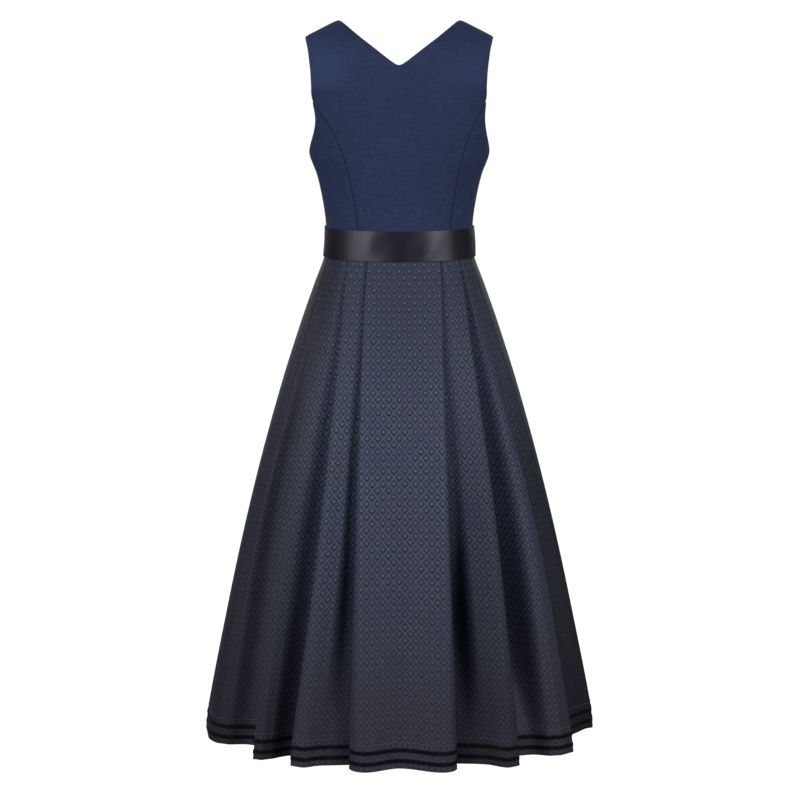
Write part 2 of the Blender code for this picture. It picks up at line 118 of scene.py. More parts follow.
BodiceLevel = namedtuple("BodiceLevel", "height half_width back_depth front_depth squareness seam_shift")
BODICE_LEVELS = rows_of(BodiceLevel, [
    (WAIST, 0.1266, 0.0985, 0.0930, 2.00, -0.0083),
    (-0.345, 0.1268, 0.0980, 0.0950, 2.05, -0.0083),
    (-0.304, 0.1326, 0.0985, 0.1000, 2.10, -0.0080),
    (-0.263, 0.1419, 0.1010, 0.1080, 2.15, -0.0073),
    (UNDERARM, 0.1542, 0.1035, 0.1120, 2.20, -0.0064),
    (-0.185, 0.1600, 0.1060, 0.1100, 2.30, -0.0045),
    (-0.134, 0.1668, 0.1075, 0.1030, 2.35, 0.0000),
    (-0.085, 0.1710, 0.1060, 0.0950, 2.40, 0.0005),
    (0.004, 0.1725, 0.1000, 0.0880, 2.40, 0.0000),
])

PanelEdge = namedtuple("PanelEdge", "height half_width")
BACK_PRINCESS_TOP = -0.134
BACK_EDGE = rows_of(PanelEdge, [
    (WAIST, 0.0783),
    (-0.350, 0.0800),
    (-0.326, 0.0823),
    (-0.292, 0.0873),
    (-0.253, 0.0949),
    (-0.212, 0.1068),
    (-0.177, 0.1230),
    (BACK_PRINCESS_TOP, 0.1475),
    (-0.105, 0.1500),
    (-0.085, 0.1512),
    (-0.065, 0.1537),
    (-0.0485, 0.1562),
    (-0.0278, SHOULDER_TIP_X),
])
FRONT_PRINCESS_TOP = -0.150
FRONT_EDGE = rows_of(PanelEdge, [
    (WAIST, 0.0720),
    (-0.330, 0.0780),
    (-0.290, 0.0840),
    (-0.250, 0.0900),
    (-0.210, 0.1000),
    (-0.180, 0.1130),
    (FRONT_PRINCESS_TOP, 0.1345),
    (-0.120, 0.1360),
    (-0.090, 0.1395),
    (-0.060, 0.1470),
    (-0.040, 0.1545),
    (-0.0278, SHOULDER_TIP_X),
])
ARMHOLE_SCOOP = 1.35

SkirtLevel = namedtuple("SkirtLevel", "height half_width back_depth front_depth")
SKIRT_LEVELS = rows_of(SkirtLevel, [
    (WAIST - SEAM_GAP, 0.1268, 0.0985, 0.0930),
    (BELT_BOTTOM, 0.1293, 0.1010, 0.0955),
    (-0.451, 0.1464, 0.1160, 0.1090),
    (-0.521, 0.1711, 0.1380, 0.1300),
    (-0.627, 0.2049, 0.1690, 0.1600),
    (-0.769, 0.2444, 0.2030, 0.1920),
    (-0.912, 0.2789, 0.2290, 0.2170),
    (-1.056, 0.3094, 0.2500, 0.2380),
    (HEM_STITCHES, 0.3384, 0.2660, 0.2540),
    (HEM, 0.3438, 0.2700, 0.2580),
])

# One row for each pleat, from centre outwards. waist to hem are the angles of its outer fold at four
# heights, in degrees. tuck and reach are the cloth turned under at the waist and at the hem. crest_lead,
# crest and fold hold at the hem: how far before the fold the crest stands, and the crest's and the fold's
# size against the ring. Beyond the fold lies a hollow. floor and floor_hem are its depth under the fold's
# ring where it is deepest and at the hem, and under is the share of that depth right under the fold.
# lag_knee and lag are how far beyond the fold the floor lies, rise_knee and rise_lag where the next panel
# has risen again, at the knee and at the hem. rise is that panel's size there. early scales the
# floor's depth from the belt down to the knee.
Pleat = namedtuple(
    "Pleat",
    "waist hip knee hem tuck reach crest_lead crest fold floor floor_hem under"
    " lag_knee lag rise_knee rise_lag rise early",
    defaults=(1.0,),
)
HIP = -0.556
KNEE = -0.840
FOLD_HEIGHTS = (BELT_BOTTOM, HIP, KNEE, HEM_STITCHES)
BACK_LEFT_PLEATS = rows_of(Pleat, [
    (24.6, 20.0, 16.0, 14.1, .022, .018, 5.0, 1.084, 1.010, .032, .016, .8, 3.4, 4.0, 5.7, 9.5, 1.005, .75),
    (42.0, 33.3, 29.5, 30.6, .022, .016, 4.3, 1.066, 1.054, .045, .055, .8, 5.0, 5.4, 11.0, 9.6, .983),
    (70.5, 50.8, 46.1, 43.6, .022, .003, 2.2, 1.040, 1.054, .05, .0585, .8, 16.0, 14.5, 21.0, 20.6, .961),
])
BACK_RIGHT_PLEATS = rows_of(Pleat, [
    (32.5, 23.9, 18.6, 16.3, .022, .018, 4.3, 1.092, 1.011, .052, .0235, .8, 4.4, 3.5, 7.8, 9.6, .987, .5),
    (51.7, 42.0, 37.0, 33.4, .022, .018, 4.2, 1.096, 1.078, .082, .0425, .8, 6.6, 9.6, 14.6, 14.4, 1.026),
    (66.0, 56.1, 58.5, 56.0, .013, .016, 5.6, 1.052, 1.054, .044, .044, .8, 21.5, 25.5, 26.0, 32.2, .967),
])
FRONT_LEFT_PLEATS = rows_of(Pleat, [
    (27.5, 21.5, 17.0, 15.5, .022, .018, 4.6, 1.080, 1.010, .038, .034, .8, 3.4, 4.0, 6.5, 10.5, .985),
    (46.5, 37.0, 33.0, 32.0, .022, .016, 4.3, 1.070, 1.060, .038, .038, .7, 6.8, 8.0, 12.0, 12.0, .995),
    (67.5, 53.0, 50.0, 49.0, .018, .012, 4.0, 1.045, 1.050, .038, .042, .4, 13.6, 16.0, 20.0, 24.0, .985),
])
FRONT_RIGHT_PLEATS = rows_of(Pleat, [
    (28.5, 22.5, 18.0, 16.0, .022, .018, 4.4, 1.076, 1.012, .04, .034, .8, 3.8, 4.5, 7.0, 11.0, .98),
    (48.0, 38.5, 34.0, 31.5, .022, .016, 4.5, 1.074, 1.056, .036, .036, .6, 6.8, 8.0, 12.0, 13.0, .995),
    (68.0, 54.5, 51.5, 50.5, .018, .012, 4.2, 1.050, 1.052, .036, .04, .4, 12.8, 15.0, 20.0, 23.0, .985),
])
# FLOOR_SHARES are the shares of a pleat's floor at the first three of FLOOR_HEIGHTS, and HIP_SHARE and
# RISE_HIP_SHARE the shares at the hip of how far the floor and the rise lie beyond the fold at the knee.
# A tuck takes no more than TUCK_ROOM of the room behind its fold. The swells are the spots added on the way
# to a crest, from the centre and from another pleat.
FLOOR_HEIGHTS = (BELT_BOTTOM, HIP, KNEE, -1.020, HEM_STITCHES)
FLOOR_SHARES = (0.05, 0.25, 0.75)
HIP_SHARE = 0.53
UNDER_WAIST = 0.8
TUCK_ROOM = 0.8
RISE_WAIST = 3.2
RISE_HIP_SHARE = 0.6
CREST_LEAD_WAIST = 1.0
CREST_SHOULDER = 0.4
CREST_FALL = 0.3
TUCK_SAG = 0.12
CENTRE_SAG = 0.978
CENTRE_SWELLS = 3
PANEL_SWELLS = 2
LAYER_STEP_WAIST = 0.0020
LAYER_STEP_HEM = 0.0060

SideRound = namedtuple("SideRound", "angle_waist angle_hem size_hem")
SkirtHalf = namedtuple("SkirtHalf", "facing left_pleats right_pleats left_rounds right_rounds")
SKIRT_HALVES = {
    "back": SkirtHalf(
        1,
        BACK_LEFT_PLEATS,
        BACK_RIGHT_PLEATS,
        [SideRound(78.0, 67.5, 1.000), SideRound(84.0, 73.5, 1.005)],
        [SideRound(84.0, 89.0, 0.985), SideRound(87.0, 89.5, 0.995)],
    ),
    "front": SkirtHalf(
        -1,
        FRONT_LEFT_PLEATS,
        FRONT_RIGHT_PLEATS,
        [SideRound(78.0, 78.0, 1.004), SideRound(84.0, 83.0, 0.998)],
        [SideRound(78.0, 79.0, 1.012), SideRound(84.0, 84.0, 1.010)],
    ),
}

# ---------------------------------------------------------------- sizes of the looks

# A soft trough (depth below 0) or ridge. It runs from place_top at height top to place_bottom at height
# bottom, and fades out at both ends. Places and widths are degrees round the skirt and the belt, metres on
# the bodice.
Crease = namedtuple("Crease", "place_top place_bottom top bottom width depth")
SKIRT_CREASES = {
    "back": rows_of(Crease, [
        (-3.0, -5.5, -0.62, -1.40, 4.0, -0.0030),
        (6.0, 4.0, -0.70, -1.42, 3.5, -0.0026),
        (24.0, 22.5, -0.66, -1.38, 2.6, -0.0032),
        (-26.0, -25.0, -0.60, -1.36, 3.0, -0.0030),
        (43.0, 38.5, -0.74, -1.38, 2.2, 0.0028),
        (57.0, 55.0, -0.55, -1.20, 4.2, -0.0048),
        (-49.0, -47.0, -0.58, -1.30, 3.2, -0.0038),
        (-70.0, -72.0, -0.52, -1.28, 4.5, -0.0046),
        (76.0, 74.0, -0.50, -1.34, 4.0, 0.0040),
    ]),
    "front": rows_of(Crease, [
        (4.0, 6.5, -0.60, -1.42, 4.2, -0.0032),
        (-7.0, -4.5, -0.72, -1.38, 3.4, -0.0026),
        (25.0, 24.0, -0.62, -1.36, 3.0, -0.0030),
        (-27.0, -23.5, -0.68, -1.40, 2.8, -0.0034),
        (44.0, 41.0, -0.70, -1.36, 2.4, 0.0026),
        (-50.0, -46.0, -0.58, -1.34, 3.4, -0.0040),
        (68.0, 66.0, -0.54, -1.30, 4.4, -0.0046),
        (-72.0, -70.0, -0.52, -1.26, 4.2, -0.0040),
    ]),
}
BODICE_CREASES = {
    1: rows_of(Crease, [
        (-0.060, -0.030, -0.300, -0.390, 0.016, -0.0012),
        (0.052, 0.034, -0.285, -0.392, 0.014, -0.0010),
        (0.118, 0.092, -0.235, -0.330, 0.015, -0.0011),
        (-0.120, -0.098, -0.240, -0.345, 0.014, -0.0012),
        (0.004, -0.004, -0.250, -0.420, 0.022, -0.0009),
        (0.126, 0.060, -0.030, -0.115, 0.020, -0.0010),
        (-0.122, -0.070, -0.030, -0.130, 0.022, -0.0009),
    ]),
    -1: rows_of(Crease, [
        (0.110, 0.070, -0.300, -0.395, 0.014, -0.0013),
        (-0.105, -0.072, -0.305, -0.395, 0.015, -0.0012),
        (0.040, 0.030, -0.290, -0.390, 0.012, -0.0010),
        (-0.045, -0.032, -0.300, -0.390, 0.013, -0.0010),
        (0.125, 0.105, -0.120, -0.215, 0.014, -0.0012),
        (-0.126, -0.104, -0.125, -0.220, 0.015, -0.0012),
    ]),
}
# Places round the belt run from centre front over the wearer's left hip, so 180 is centre back.
BELT_CREASES = rows_of(Crease, [
    (212.0, 200.0, -0.348, -0.412, 7.0, 0.0011),
    (196.0, 186.0, -0.352, -0.420, 6.0, -0.0008),
    (160.0, 152.0, -0.345, -0.410, 6.0, 0.0010),
    (170.0, 168.0, -0.362, -0.404, 8.0, -0.0007),
    (232.0, 236.0, -0.350, -0.408, 8.0, -0.0008),
    (124.0, 118.0, -0.350, -0.408, 8.0, 0.0009),
    (88.0, 94.0, -0.350, -0.410, 9.0, -0.0009),
    (52.0, 46.0, -0.348, -0.408, 7.0, 0.0010),
    (22.0, 28.0, -0.350, -0.412, 6.0, -0.0008),
    (272.0, 264.0, -0.350, -0.406, 8.0, 0.0009),
    (312.0, 318.0, -0.348, -0.408, 7.0, -0.0009),
    (336.0, 330.0, -0.352, -0.410, 6.0, 0.0008),
])

# How much painted shade darkens a panel of the skirt, where its pleats turn from the light, counted from its
# left side seam.
PAINTED_PANEL_SHADES = {0: 0.25, 1: 0.62, 2: 0.20, -1: 1.15, -3: 0.80}
SEAM_DIP = 0.0011
SEAM_DIP_REACH = 0.0026
SEAM_SHADE = 0.50
# Shares of the painted sheen on the bodice's left and right shoulders, stronger on the left where the light
# falls.
PAINTED_SHEEN_LEFT = 0.52
PAINTED_SHEEN_RIGHT = 0.34
# The skirt's painted shade at the side seams starts further in on the left, and further out on the right.
LEFT_SIDE_SHADE_MORE = 0.10
RIGHT_SIDE_SHADE_LESS = 0.05
# The skirt's creases fade in from the belt, over metres, and from the side seams, over degrees.
CREASES_FROM_BELT = 0.05
CREASES_FROM_SEAM = 6.0

# Looks change softly between two limits. On the skirt these are heights in diamonds, 0 being the waist.
GREYING = (-18.0, -40.0)
LINES_CLEARING = (2.0, -15.0)
# Painted shade darkens the skirt just under the belt and fades out down to the second limit.
WAIST_SHADE_HEIGHTS = (-3.0, -14.0)
# Painted shade comes in on some panels of the skirt between these heights.
PANEL_SHADE_HEIGHTS = (-6.0, -22.0)
# In the lattice they are shares of a diamond: its lines, its dot, and the dark outline between them.
LINE_EDGE = (0.435, 0.470)
DOT_EDGE = (0.165, 0.085)
OUTLINE_INSIDE = (0.19, 0.25)
OUTLINE_OUTSIDE = (0.38, 0.31)
# The woven outline is painted darker below the dot, as shade under the raised figure.
DOT_SHADE_BELOW = (0.10, -0.15)
# The painted sheen at the shoulders lies between two heights, and starts outward from the centre, in metres.
PAINTED_SHEEN_BELOW = (-0.125, -0.095)
PAINTED_SHEEN_ABOVE = (0.0, -0.07)
PAINTED_SHEEN_OUTWARD = (0.05, 0.15)
# The others are values from 0 to 1 that a noise, a seam or the skirt's turn to the side takes.
SIDE_EDGE = (0.62, 1.0)
SEAM_EDGE = (0.45, 1.0)
SLUB_EDGE = (0.42, 0.66)
PATCH_EDGE = (0.30, 0.70)
NAP_EDGE = (0.35, 0.75)
STREAK_EDGE = (0.5, 0.8)

BODICE_RELIEF = 0.00004
SKIRT_RELIEF = 0.00022
PILE_RELIEF = 0.0003
SATIN_RELIEF = 0.0004
THREAD_RELIEF = 0.0001
SLUB_STRETCH = 9.0

PANEL_ROWS = 110
BACK_HALF_COLUMNS = 49
FRONT_COLUMNS = 64
SIDE_ROWS = 76
SIDE_COLUMNS = 40
BELT_ROWS = 22
BELT_COLUMNS = 380
BELT_CROWDING = 0.4
RIBBON_ROWS = 5
SKIRT_ROWS = 116
SKIRT_STEP = 0.0052
PANEL_GRAIN_HEIGHT = -0.80
HARD_EDGE = math.radians(70)

# gap is the space between two stitches, as a share of a stitch. Below 0 they lie over each other.
Sewing = namedtuple("Sewing", "length thickness gap")
BUTTON_SEWING = Sewing(0.0022, 0.0007, 0.0)
BUTTONHOLE_SEWING = Sewing(0.0011, 0.0008, -0.35)
STITCH_GAP = 0.18
STITCH_LEAN = 0.06
STITCH_CLEARANCE = 0.0002
# How far the hem thread's middle stands off the cloth, in its own widths, and how far in from its edge a
# velvet ribbon is sewn, in rows of its grid.
HEM_THREAD_OUT = 0.3
RIBBON_SEAM_IN = 0.6

ButtonRing = namedtuple("ButtonRing", "radius height")
# Shares of the button's radius and thickness, from the middle of its face over the rim to the middle of its
# back.
BUTTON_PROFILE = rows_of(ButtonRing, [
    (0.30, 0.55),
    (0.58, 0.60),
    (0.70, 0.80),
    (0.80, 1.00),
    (0.92, 0.98),
    (1.00, 0.72),
    (1.00, 0.50),
    (0.92, 0.20),
    (0.70, 0.00),
])
BUTTON_SIDES = 40
HOLE_SIDES = 14
HOLE_RADIUS = 0.00075
THREAD_REACH = 0.0017
THREAD_LEVEL = 0.62
HOLE_PLACE = THREAD_REACH / 1.4
SLIT_START = 0.0020
SLIT_END = -0.0125
SLIT_TIP = -0.0134
SLIT_HALF_WIDTH = 0.0011
SLIT_POINTS = 14

# The slot of each cloth's material.
SLOTS = {
    "navy_plain_weave": "bodice_cloth",
    "shot_jacquard": "skirt_jacquard",
    "black_velvet": "velvet_ribbon",
    "black_satin": "satin_ribbon",
}

CAMERA_PLACE = (-0.0012, 5.0, 0.12)
CAMERA_PITCH = -8.851
CAMERA_LENS = 130.13
SENSOR = 36.0
FLOOR_HEIGHT = -1.42
FLOOR_RADIUS = 120.0
FLOOR_SIDES = 96
FLOOR_GREY = (0.20, 0.20, 0.20, 1.0)
WHITE = (1.0, 1.0, 1.0, 1.0)
ROOM_LIGHT = 0.10

# A soft box's place is in degrees round the garment from the camera's side, in metres away from its axis, and
# its height. aim is the height that it points at on the axis, and spread how far its light fans out, in
# degrees.
SoftBox = namedtuple("SoftBox", "name azimuth distance height width tall aim spread power")
SOFT_BOXES = rows_of(SoftBox, [
    ("key_left", 46.0, 2.1, 0.15, 1.7, 2.0, -0.45, 80.0, 8.6),
    ("key_right", -48.0, 2.1, 0.15, 1.6, 2.0, -0.45, 80.0, 7.9),
    ("front_left", 150.0, 3.2, 0.60, 1.6, 2.2, -0.55, 180.0, 20.0),
    ("front_right", -150.0, 3.2, 0.60, 1.6, 2.2, -0.55, 180.0, 20.0),
])


# ---------------------------------------------------------------- settings shown in the sidebar


def colour_setting(name, description, default):
    return FloatVectorProperty(
        name=name, description=description, default=default, size=3, min=0.0, max=1.0, subtype="COLOR"
    )


def length_setting(name, description, default):
    return FloatProperty(name=name, description=description, default=default, min=0.0, unit="LENGTH")


class DirndlColours(PropertyGroup):
    """Colours of the cloths, ribbons and threads, in linear light."""

    bodice: colour_setting("Bodice", "Navy ground of the bodice cloth", (0.0230, 0.0350, 0.0930))
    bodice_thread: colour_setting("Bodice slub", "Lighter threads of the bodice", (0.0335, 0.0500, 0.1200))
    # Painted sheen: the lighter colour painted on the shoulders where light falls on them.
    bodice_painted_sheen: colour_setting("Bodice sheen", "Lighter cloth at the shoulders", (0.0480, 0.0740, 0.1950))
    skirt: colour_setting("Skirt ground", "Blue ground of the jacquard", (0.0400, 0.0540, 0.1120))
    skirt_shot: colour_setting("Skirt shot", "Violet-blue that the ground turns to", (0.0510, 0.0540, 0.1080))
    skirt_teal: colour_setting("Skirt teal", "Grey-green that the ground turns to", (0.0390, 0.0620, 0.0860))
    skirt_grey: colour_setting("Skirt grey", "Greyer ground near the hem", (0.0440, 0.0430, 0.0650))
    # Painted shade: the ground is darkened towards the side seams, where the skirt turns away from the light.
    skirt_side_shade: colour_setting("Skirt side", "Dark grey ground at the side seams", (0.0286, 0.0277, 0.0460))
    skirt_figure: colour_setting("Skirt figure", "Lattice and dots of the jacquard", (0.1150, 0.1370, 0.2020))
    skirt_shade: colour_setting("Skirt shade", "Dark outline round each dot", (0.0095, 0.0125, 0.0300))
    velvet: colour_setting("Velvet", "Pile of the hem ribbons", (0.0055, 0.0058, 0.0088))
    satin: colour_setting("Satin", "Face of the belt ribbon", (0.0090, 0.0086, 0.0145))
    button: colour_setting("Buttons", "Polished horn", (0.0090, 0.0080, 0.0090))
    navy_thread: colour_setting("Navy thread", "Buttonholes and button threads", (0.0200, 0.0260, 0.0560))
    hem_thread: colour_setting("Hem thread", "Line of stitches above the hem", (0.1050, 0.1130, 0.1450))
    black_thread: colour_setting("Black thread", "Stitches along the ribbons", (0.0060, 0.0060, 0.0080))


class DirndlSizes(PropertyGroup):
    """Sizes that the pieces' looks are worked out from."""

    lattice_width_top: length_setting("Lattice width, top", "Width of one diamond at the waist", 0.0170)
    lattice_width_hem: length_setting("Lattice width, hem", "Width of one diamond at the hem", 0.0200)
    lattice_height_top: length_setting("Lattice height, top", "Height of one diamond at the waist", 0.0208)
    lattice_height_hem: length_setting("Lattice height, hem", "Height of one diamond at the hem", 0.0224)
    thread_spacing: length_setting("Thread spacing", "Distance between two threads of the bodice", 0.00060)
    hem_stitch: length_setting("Hem stitch", "Length of a stitch above the hem", 0.0034)
    ribbon_stitch: length_setting("Ribbon stitch", "Length of a stitch along the velvet ribbons", 0.0026)
    thread_width: length_setting("Thread width", "Thickness of the sewing thread", 0.00045)
    hem_thread_width: length_setting("Hem thread width", "Thickness of the thread above the hem", 0.00085)
    crease_strength: FloatProperty(
        name="Creases", description="Strength of the soft creases", default=1.0, min=0.0, max=2.0
    )
    stitch_seed: IntProperty(
        name="Stitch seed", description="Seed of the stitches' unevenness", default=7, min=0
    )


# ---------------------------------------------------------------- curves and sections


def mix(a, b, share):
    return a + (b - a) * share


def eased(share):
    """A share from 0 to 1 made to start and end gently."""
    return share * share * (3 - 2 * share)


def between(t, start, end, leave, arrive):
    """The smooth step t of the way from start to end, with the slopes at which it leaves and arrives."""
    first = (2 * t**3 - 3 * t**2 + 1) * start + (t**3 - 2 * t**2 + t) * leave
    return first + (3 * t**2 - 2 * t**3) * end + (t**3 - t**2) * arrive


def smooth_value(keys, values, at):
    """The value at a key on a smooth curve through (key, value) pairs, held level past both ends."""
    if keys[0] > keys[-1]:
        keys = keys[::-1]
        values = values[::-1]
    if at <= keys[0]:
        return values[0]
    if at >= keys[-1]:
        return values[-1]
    i = next(k for k in range(1, len(keys)) if at <= keys[k])
    span = keys[i] - keys[i - 1]

    def slope(k):
        low = max(k - 1, 0)
        high = min(k + 1, len(keys) - 1)
        return span * (values[high] - values[low]) / (keys[high] - keys[low])

    return between((at - keys[i - 1]) / span, values[i - 1], values[i], slope(i - 1), slope(i))


def size_at(levels, height):
    """The row of sizes at a height, every column read from a smooth curve."""
    heights = [level.height for level in levels]
    return type(levels[0])(*(smooth_value(heights, column, height) for column in zip(*levels)))


def depth_of(size, facing):
    """Depth in the middle of the back (facing +1) or of the front (facing -1)."""
    return size.back_depth if facing > 0 else size.front_depth


def signed_power(value, power):
    return math.copysign(abs(value) ** power, value)


def crease_lift(creases, place, height):
    """How far soft creases move cloth outward, at places across it and heights."""
    lift = np.zeros(np.broadcast(place, height).shape)
    for crease in creases:
        share = (crease.top - height) / (crease.top - crease.bottom)
        line = mix(crease.place_top, crease.place_bottom, share)
        fade = np.sin(math.pi * np.clip(share, 0.0, 1.0))
        lift = lift + crease.depth * fade * np.exp(-(((place - line) / crease.width) ** 2))
    return lift * bpy.context.scene.dirndl_sizes.crease_strength


def crowded(count, crowding=0.6):
    """Shares from 0 to 1, closer together towards both ends."""
    even = np.linspace(0.0, 1.0, count)
    return mix(even, (1 - np.cos(math.pi * even)) / 2, crowding)


def grid_of(shares_up, shares_across, point):
    """A grid of points, from a function of the share of the way up and the share of the way across."""
    return np.array([[point(up, across) for across in shares_across] for up in shares_up])


def unit(vectors):
    """Vectors in the last axis of an array brought to a length of 1."""
    return vectors / np.maximum(np.linalg.norm(vectors, axis=-1, keepdims=True), 1e-12)


def run_through(points, counts):
    """Smooth runs through points (rows, points, 2), with a count of steps for each stretch of them."""
    gaps = np.sqrt(np.maximum(np.linalg.norm(np.diff(points, axis=1), axis=2), 1e-9))[..., None]
    slopes = np.diff(points, axis=1) / gaps
    inner = (gaps[:, 1:] * slopes[:, :-1] + gaps[:, :-1] * slopes[:, 1:]) / (gaps[:, 1:] + gaps[:, :-1])
    tangents = np.concatenate([slopes[:, :1], inner, slopes[:, -1:]], axis=1)
    runs = [points[:, :1]]
    for i, count in enumerate(counts):
        t = (np.arange(1, count + 1) / count)[None, :, None]
        here, after = slice(i, i + 1), slice(i + 1, i + 2)
        leave, arrive = tangents[:, here] * gaps[:, here], tangents[:, after] * gaps[:, here]
        runs.append(between(t, points[:, here], points[:, after], leave, arrive))
    return np.concatenate(runs, axis=1)


def arc_lengths(rows):
    """Distance along each row of points from its first one."""
    steps = np.linalg.norm(np.diff(rows, axis=1), axis=2)
    return np.concatenate([np.zeros((len(rows), 1)), np.cumsum(steps, axis=1)], axis=1)


def grid_area(rows):
    """Area of a grid's surface."""
    across = rows[1:, 1:] - rows[:-1, :-1]
    back = rows[1:, :-1] - rows[:-1, 1:]
    return np.linalg.norm(np.cross(across, back), axis=2).sum() / 2


def outward(rows):
    """Unit normals of a grid of points, pointing away from the body's upright axis."""
    normals = unit(np.cross(np.gradient(rows, axis=1), np.gradient(rows, axis=0)))
    facing = normals[..., 0] * rows[..., 0] + normals[..., 1] * rows[..., 1]
    return normals * np.sign(facing.sum())


# ---------------------------------------------------------------- pieces


def new_piece(name, data):
    """A new object in the scene, from a mesh, a light or a camera."""
    piece = bpy.data.objects.new(name, data)
    bpy.context.scene.collection.objects.link(piece)
    return piece


def shape_piece(name, shape):
    """A piece from a bmesh, which is given up."""
    mesh = bpy.data.meshes.new(name)
    shape.to_mesh(mesh)
    shape.free()
    return new_piece(name, mesh)


def make_plain(piece):
    """Replaces a piece's live modifiers by the mesh that they give, with hard edges where walls end."""
    bpy.context.view_layer.update()
    graph = bpy.context.evaluated_depsgraph_get()
    mesh = bpy.data.meshes.new_from_object(piece.evaluated_get(graph))
    rough = piece.data
    piece.modifiers.clear()
    piece.data = mesh
    bpy.data.meshes.remove(rough)
    mesh.name = piece.name
    mesh.shade_smooth()
    mesh.set_sharp_from_angle(angle=HARD_EDGE)
    return piece


def wear(piece, slot, *nodes):
    """Attaches a finished piece to the garment's root and hides the solids that it stands for."""
    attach(piece, "root")
    if nodes:
        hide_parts(*nodes)
    return piece


def cloth_sheet(node, rows, chart, wall, cloth, **marks):
    """The sheet of cloth that stands for a solid, with its wall, from a grid of points on its middle surface
    and a chart (u, v) of them. cloth is its material, and marks are values at the points that it reads."""
    index = np.arange(rows[..., 0].size).reshape(rows.shape[:2])
    corners = (index[:-1, :-1], index[:-1, 1:], index[1:, 1:], index[1:, :-1])
    faces = np.stack(corners, axis=-1).reshape(-1, 4)
    name = f"worn_{node}"
    mesh = bpy.data.meshes.new(name)
    mesh.from_pydata(rows.reshape(-1, 3).tolist(), [], faces.tolist())
    layer = mesh.uv_layers.new(name="cloth")
    layer.data.foreach_set("uv", chart.reshape(-1, 2)[faces.reshape(-1)].astype(np.float32).ravel())
    mesh.materials.append(bpy.data.materials[cloth])
    for label, values in marks.items():
        mark = mesh.attributes.new(label, "FLOAT", "POINT")
        mark.data.foreach_set("value", np.ascontiguousarray(values, dtype=np.float32).ravel())
    piece = new_piece(name, mesh)
    solid = piece.modifiers.new("wall", "SOLIDIFY")
    solid.thickness = wall
    solid.offset = 0.0
    solid.use_even_offset = True
    solid.use_quality_normals = True
    return wear(make_plain(piece), SLOTS[cloth], node)


# ---------------------------------------------------------------- nodes


class Bench:
    """A node tree with the few steps that looks are worked out with. A value is plain or a socket."""

    def __init__(self, tree):
        self.tree = tree

    def fill(self, sockets, values):
        """Gives sockets their values, by name or by place."""
        for place, value in values.items():
            if isinstance(value, bpy.types.NodeSocket):
                self.tree.links.new(value, sockets[place])
            else:
                sockets[place].default_value = value

    def node(self, kind, inputs=None, **settings):
        """The outputs of a new node with its values and settings."""
        node = self.tree.nodes.new(kind)
        for name, value in settings.items():
            setattr(node, name, value)
        self.fill(node.inputs, inputs or {})
        return node.outputs

    def group(self, name, inputs):
        return self.node("ShaderNodeGroup", inputs, node_tree=bpy.data.node_groups[name])

    def maths(self, operation, *values):
        return self.node("ShaderNodeMath", dict(enumerate(values)), operation=operation)[0]

    def times(self, first, second):
        return self.maths("MULTIPLY", first, second)

    def scaled(self, value, factor, more):
        """A value times a factor, and more."""
        return self.maths("ADD", self.times(value, factor), more)

    def without(self, value, share):
        """What is left of 1 when a share of a value is taken away."""
        return self.maths("SUBTRACT", 1.0, self.times(value, share))

    def band(self, value, low, high):
        """A soft step from 0 at low to 1 at high."""
        inputs = {0: value, 1: low, 2: high}
        return self.node("ShaderNodeMapRange", inputs, interpolation_type="SMOOTHSTEP")[0]

    def blended(self, share, first, second, blend="MIX"):
        inputs = {0: share, 6: first, 7: second}
        return self.node("ShaderNodeMix", inputs, data_type="RGBA", blend_type=blend)[2]

    def darkened(self, colour, share):
        """The colour times a share."""
        grey = self.node("ShaderNodeCombineColor", {0: share, 1: share, 2: share})[0]
        return self.blended(1.0, colour, grey, "MULTIPLY")

    def noise(self, coordinates, scale, detail, roughness):
        inputs = {"Vector": coordinates, "Scale": scale, "Detail": detail, "Roughness": roughness}
        return self.node("ShaderNodeTexNoise", inputs)[0]

    def stretched(self, coordinates, across, along):
        """Coordinates with their two directions scaled by different amounts."""
        return self.node("ShaderNodeMapping", {"Vector": coordinates, "Scale": (across, along, 1.0)})[0]

    def split(self, coordinates):
        return self.node("ShaderNodeSeparateXYZ", {0: coordinates})

    def chart(self):
        return self.node("ShaderNodeUVMap", uv_map="cloth")[0]

    def place(self):
        return self.node("ShaderNodeTexCoord")["Object"]

    def marked(self, name):
        """Values that a piece's points carry."""
        return self.node("ShaderNodeAttribute", attribute_name=name)["Fac"]

    def seen(self):
        """1 where the camera itself looks, 0 for light on its way elsewhere."""
        return self.node("ShaderNodeLightPath")["Is Camera Ray"]


class Group(Bench):
    """A new node group. inputs are (name, kind, default) and outputs (name, kind)."""

    def __init__(self, name, family, inputs, outputs):
        super().__init__(bpy.data.node_groups.new(name, f"{family}NodeTree"))
        sockets = self.tree.interface
        for label, kind, default in inputs:
            socket = sockets.new_socket(label, in_out="INPUT", socket_type=f"NodeSocket{kind}")
            if default is not None:
                socket.default_value = default
        for label, kind in outputs:
            sockets.new_socket(label, in_out="OUTPUT", socket_type=f"NodeSocket{kind}")
        self.inputs = self.tree.nodes.new("NodeGroupInput").outputs[: len(inputs)]
        self.way_out = self.tree.nodes.new("NodeGroupOutput")

    def give(self, **values):
        self.fill(self.way_out.inputs, values)


class Look(Bench):
    """A new material with a Principled shader, whose sockets values fills by name."""

    def __init__(self, name, values):
        material = bpy.data.materials.new(name)
        material.use_nodes = True
        super().__init__(material.node_tree)
        self.shader = self.tree.nodes["Principled BSDF"]
        self.give(values)

    def give(self, values):
        self.fill(self.shader.inputs, values)

    def tint(self, share, colour, lighter):
        """Colours the material from a colour to the same one made lighter by a factor."""
        self.give({"Base Color": self.blended(share, rgba(colour), rgba(colour, lighter))})

    def bump(self, height, distance):
        inputs = {"Height": height, "Distance": distance, "Strength": 1.0}
        self.give({"Normal": self.node("ShaderNodeBump", inputs)[0]})


def rgba(colour, lighter=1.0):
    return (*(lighter * channel for channel in colour), 1.0)


